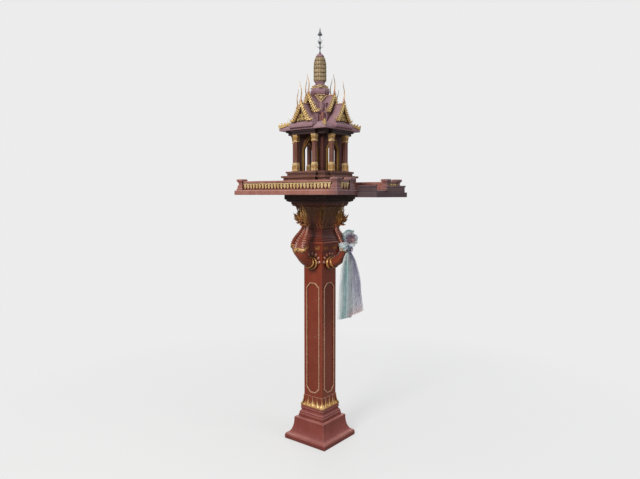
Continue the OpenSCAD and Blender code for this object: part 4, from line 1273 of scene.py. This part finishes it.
class SPIRIT_OT_rail_ornament(Operator):
    """Add the gilt hearts, beads and line of the rail petals and the dark wall behind them"""

    bl_idname = "spirit.rail_ornament"
    bl_label = "Rail ornament"

    def execute(self, context):
        bm = bmesh.new()
        box_low, box_high = low("rail_petals"), high("rail_petals")
        heart = flame((0, 0, 0), (0, 0.6, -24), (0, -1.4, 0), 4.6, 2.0, steps=5)
        bead = ball(2.4, u=8, v=6)
        # each run of rail: middle x, middle y, length, turn
        side_length = 2 * RAIL_HALF_Y - POST
        flank = RAIL_HALF_X - POST / 2 - GATE_HALF - POST
        runs = [(0, box_high.y, 2 * RAIL_HALF_X - POST, 180), (box_high.x, 0, side_length, 90),
                (box_low.x, 0, side_length, -90)]
        runs += [(s * (GATE_HALF + POST + flank / 2), box_low.y, flank, 0) for s in (-1, 1)]
        for x, y, length, turn in runs:
            count = int(length // PETAL_PITCH)
            place = at(x, y, box_high.z - 1) @ Matrix.Rotation(math.radians(turn), 4, "Z")
            for i in range(count):
                along = (i - (count - 1) / 2) * PETAL_PITCH
                stamp(bm, heart, place @ at(along, -0.6, -3))
                for s in (-1, 1):
                    stamp(bm, bead, place @ at(along + s * 5.2, -1, -2.5))
            # the wall behind the petals is red, darkened with painted shade under the rail, and a gilt
            # line runs over their tops
            for out, z_mid, deep, tall, paint in ((3.6, -16, 1.2, 33, 1), (0.4, -1.6, 3.2, 3.2, 0)):
                panel = bmesh.new()
                size = Matrix.Diagonal((length, deep, tall, 1))
                bmesh.ops.create_cube(panel, size=1, matrix=place @ at(0, out, z_mid) @ size)
                stamp(bm, to_mesh(panel), None, paint, drop=True)
        for mesh in (heart, bead):
            bpy.data.meshes.remove(mesh)
        add_piece("rail_ornament", bm, ["rail gold paint", "deep red enamel"])
        return {"FINISHED"}


# ---------------------------------------------------------------- sash

# where the random crumpling starts, so that each run gives the same cloth
SASH_SEED = 11
# how far out the cloth may reach before it is pressed back, in millimetres
SASH_FRONT = -238


def cloth_strip(bm, rows, across, uv_layer, u0, u1, slot=0):
    """A pleated strip: rows of middle, side and depth vector, width, pleat depth, pleats and phase."""
    grid = []
    for middle, side, depth, wide, deep, pleats, phase in rows:
        line = []
        for i in range(across + 1):
            s = i / across
            turn = math.tau * (pleats * s + phase)
            ripple = math.tau * (pleats * 2.3 * s + phase * 2)
            fold = math.sin(turn) + 0.2 * math.sin(ripple)
            line.append(bm.verts.new(middle + side * wide * (s - 0.5) + depth * deep * fold))
        grid.append(line)
    for j, (upper, lower) in enumerate(zip(grid, grid[1:])):
        for i in range(across):
            face = bm.faces.new((upper[i], upper[i + 1], lower[i + 1], lower[i]))
            face.material_index = slot
            for loop, (a, b) in zip(face.loops, ((i, j), (i + 1, j), (i + 1, j + 1), (i, j + 1))):
                loop[uv_layer].uv = (u0 + (u1 - u0) * a / across, b / (len(grid) - 1))


class SPIRIT_OT_sash(Operator):
    """Hang the sheer sash, its bow, knot and two tails, on the front serpent"""

    bl_idname = "spirit.sash"
    bl_label = "Sash"

    def execute(self, context):
        pleats = context.scene.spirit_sizes.pleats
        bm = bmesh.new()
        uv = bm.loops.layers.uv.new("cloth")
        y_way, z_way = Vector((0, -1, 0)), Vector((0, 0, 1))
        knot, heart = Vector((6, -216, 1184)), Vector((17, -211, 1243))
        # two overlapping tails that open like a fan and make one veil
        for left, right, back, u0, u1, drop, slant in (
            (-74, 40, 14, 0.0, 0.5, 398, -0.04), (-26, 92, -12, 0.5, 1.0, 380, 0.16),
        ):
            rows = []
            for j in range(57):
                t = j / 56
                spread = 1 - math.exp(-4.2 * t)
                near = -13 + (left + 13) * spread
                far = 13 + (right - 13) * spread + max(0, right - 60) * t * t
                middle = Vector(((near + far) / 2, -214 + back * spread - 2 * math.sin(math.pi * t),
                                 knot.z - 12 - drop * t))
                # the right edge comes forward and the left edge swings back
                side = Vector((1, -0.16 * spread, slant * t * t))
                rows.append((middle, side, y_way, far - near, 4.6 + 1.8 * t ** 0.7,
                             pleats * (1 - 0.12 * t), 0.1 + 0.2 * t + back * 0.02))
            cloth_strip(bm, rows, 126, uv, u0, u1)
        # ruffled rosette over the knot: five rings of frill about one middle
        face, ahead = Vector((0.866, -0.5, 0)), Vector((-0.5, -0.866, 0))
        for inner, outer, push, waves, u0, u1, slot in (
            (4, 56, -8, 4, 1.0, 0.4, 1), (4, 52, -3, 5, 0.8, 0.5, 1), (4, 46, 3, 4, 0.9, 0.6, 1),
            (3, 36, 8, 3, 1.0, 0.75, 2), (2, 24, 12, 3, 0.85, 1.0, 2),
        ):
            rows = []
            for j in range(97):
                a = math.tau * j / 96
                swing = math.radians(30) * math.sin(waves * a + inner + push)
                out = face * math.cos(a) + z_way * math.sin(a)
                side = (out * math.cos(swing) + ahead * math.sin(swing)).normalized()
                reach = (outer - inner) * (1 + 0.05 * math.sin(3 * a + push))
                rows.append((heart + ahead * push + out * inner + side * reach / 2, side,
                             ahead, reach, 0.8, 2, 0.1 * math.sin(5 * a)))
            cloth_strip(bm, rows, 14, uv, u0, u1, slot)
        # the knot
        rows = []
        for j in range(33):
            a = math.tau * j / 32
            out = face * math.cos(a) + z_way * math.sin(a)
            rows.append((knot + out * 15 + ahead * 2, ahead, out, 34, 2.2, 4, 0.1))
        cloth_strip(bm, rows, 28, uv, 0.6, 0.95, 1)
        # two turns of the cloth round the hood
        upright = Vector((0, 0.25, 1)).normalized()
        for wide, grow, lift, u0, u1 in ((42, 0, 12, 0.0, 0.14), (24, 2.5, 26, 0.5, 0.6)):
            rows = []
            for j in range(61):
                a = math.tau * j / 60
                c, s = math.cos(a), math.sin(a)
                middle = Vector(((43 + grow) * s, -186 - (25 + grow) * c, knot.z + lift + 6 * c))
                rows.append((middle, upright, Vector((s, -c, 0)), wide, 1.8, 4, 0.3))
            cloth_strip(bm, rows, 28, uv, u0, u1, 1)
        # the two loops of the bow, which end in its white fold
        for reach, drop, u0, u1 in ((50, 6, 0.0, 0.16), (40, 20, 0.48, 0.58)):
            rows = []
            for j in range(31):
                t = j / 30
                c, s = math.cos(math.tau * t), math.sin(math.tau * t)
                middle = knot + Vector((-6 - reach * (1 - c) / 2, 6 - 4.8 * s, 20 - drop + 13 * s))
                wide = 14 + 12 * math.sin(math.pi * t)
                rows.append((middle, y_way, Vector((s, 0, c)), wide, 1.8, 3, 0.2))
            cloth_strip(bm, rows, 20, uv, u0, u1, 1)
        noise.seed_set(SASH_SEED)
        for v in bm.verts:
            v.co += Vector(noise.noise_vector(v.co * 0.022)) * 2.6
            if v.co.y < SASH_FRONT:
                v.co.y = SASH_FRONT + 0.1 * (v.co.y - SASH_FRONT)
        piece = add_piece("sash_tulle", bm, ["sheer tulle", "gathered tulle", "rose tulle"],
                          ("sash",), sharp=180)
        return {"FINISHED"}


# ---------------------------------------------------------------- stage


# the view is from eye height, 3.39 m off and square to neither face, with the lens dipped a little
EYE = Vector((-2.664, -2.096, 1.5))
LOOK_AT = Vector((0, 0, EYE.z - 3.39 * math.tan(math.radians(4.55))))
LENS, SENSOR = 31.5, 36.0
PALE, SKY = (0.84, 0.84, 0.84, 1), (0.92, 0.95, 1, 1)


def floor_paint():
    """A matt floor that fades into the pale background away from the model."""
    material, tree = blank_material("pale floor")
    spot = add_node(tree, "ShaderNodeTexCoord").outputs["Object"]
    away = add_node(tree, "ShaderNodeVectorMath", {"operation": "LENGTH"}, {0: spot}).outputs["Value"]
    eye = add_node(tree, "ShaderNodeLightPath").outputs["Is Camera Ray"]
    share = combined(tree, "MULTIPLY", ramp(tree, away, 0.4, 2.8, 0.6, 1.0), eye)
    tint = mixed(tree, eye, (0.3, 0.28, 0.25, 1), (0.78, 0.77, 0.76, 1))
    matt = add_node(tree, "ShaderNodeBsdfDiffuse", None, {"Color": tint}).outputs[0]
    glow = add_node(tree, "ShaderNodeEmission", None, {"Color": PALE, "Strength": 1.0}).outputs[0]
    show(tree, add_node(tree, "ShaderNodeMixShader", None, {0: share, 1: matt, 2: glow}).outputs[0])
    return material


def soft_sky():
    """A world that lights gently from above and looks pale from the camera."""
    world = bpy.data.worlds.new("studio")
    world.use_nodes = True
    tree = world.node_tree
    tree.nodes.clear()
    path = add_node(tree, "ShaderNodeLightPath").outputs
    seen = combined(tree, "MAXIMUM", path["Is Camera Ray"], path["Is Transmission Ray"])
    rise = split(tree, add_node(tree, "ShaderNodeTexCoord").outputs["Generated"])[2]
    lit, pale = (
        add_node(tree, "ShaderNodeBackground", None, {"Color": tint, "Strength": strength}).outputs[0]
        for tint, strength in ((SKY, ramp(tree, rise, -0.1, 0.8, 0.2, 0.64)), (PALE, 1.0))
    )
    both = add_node(tree, "ShaderNodeMixShader", None, {0: seen, 1: lit, 2: pale}).outputs[0]
    show(tree, both, "ShaderNodeOutputWorld")
    return world


def aim(thing, place, target):
    """Puts a lamp or a camera at a place and turns it to a target."""
    bpy.context.scene.collection.objects.link(thing)
    thing.location = place
    thing.rotation_euler = (target - Vector(place)).to_track_quat("-Z", "Y").to_euler()


class SPIRIT_OT_stage(Operator):
    """Set the floor, the soft light and the camera"""

    bl_idname = "spirit.stage"
    bl_label = "Stage"

    def execute(self, context):
        scene = context.scene
        bm = bmesh.new()
        bmesh.ops.create_circle(bm, cap_ends=True, segments=64, radius=30)
        mesh = bpy.data.meshes.new("floor")
        bm.to_mesh(mesh)
        bm.free()
        mesh.materials.append(floor_paint())
        floor = bpy.data.objects.new("floor", mesh)
        scene.collection.objects.link(floor)
        scene.world = soft_sky()
        for name, place, size, power, tint in (
            ("key", (-4.6, -0.4, 4.0), 1.6, 205, (1.0, 0.97, 0.92)),
            ("fill", (0.6, -4.6, 3.0), 2.4, 50, (0.93, 0.96, 1.0)),
            ("back", (3.8, 3.6, 4.6), 3.0, 60, (1.0, 1.0, 1.0)),
        ):
            lamp = bpy.data.lights.new(name, "AREA")
            lamp.size, lamp.energy, lamp.color = size, power, tint
            aim(bpy.data.objects.new(name, lamp), place, Vector((0, 0, 1.3)))
        lens = bpy.data.cameras.new("camera")
        lens.sensor_width, lens.lens = SENSOR, LENS
        scene.camera = bpy.data.objects.new("camera", lens)
        aim(scene.camera, EYE, LOOK_AT)
        scene.view_settings.view_transform = "Standard"
        return {"FINISHED"}


class SPIRIT_PT_panel(Panel):
    bl_idname = "SPIRIT_PT_panel"
    bl_label = "Spirit House"
    bl_space_type = "VIEW_3D"
    bl_region_type = "UI"
    bl_category = "Spirit House"

    def draw(self, context):
        for group in (context.scene.spirit_finish, context.scene.spirit_sizes):
            for key in group.bl_rna.properties.keys():
                if key not in ("rna_type", "name"):
                    self.layout.prop(group, key)
        for step in STEPS:
            self.layout.operator(step.bl_idname)


STEPS = (
    SPIRIT_OT_stage, SPIRIT_OT_paint_casting, SPIRIT_OT_serpents, SPIRIT_OT_foot_band,
    SPIRIT_OT_capital_gilding, SPIRIT_OT_rail_ornament, SPIRIT_OT_column_gilding,
    SPIRIT_OT_door_gilding, SPIRIT_OT_gable_gilding, SPIRIT_OT_gable_fields,
    SPIRIT_OT_sky_tassels, SPIRIT_OT_hip_crests, SPIRIT_OT_roof_trim, SPIRIT_OT_spire,
    SPIRIT_OT_sash,
)
CLASSES = (SPIRIT_PG_finish, SPIRIT_PG_sizes, *STEPS, SPIRIT_PT_panel)


def register():
    for cls in CLASSES:
        bpy.utils.register_class(cls)
    bpy.types.Scene.spirit_finish = PointerProperty(type=SPIRIT_PG_finish)
    bpy.types.Scene.spirit_sizes = PointerProperty(type=SPIRIT_PG_sizes)


def unregister():
    del bpy.types.Scene.spirit_sizes
    del bpy.types.Scene.spirit_finish
    for cls in reversed(CLASSES):
        bpy.utils.unregister_class(cls)


def main():
    register()
    for step in STEPS:
        group, name = step.bl_idname.split(".")
        getattr(getattr(bpy.ops, group), name)()


if __name__ == "__main__":
    main()
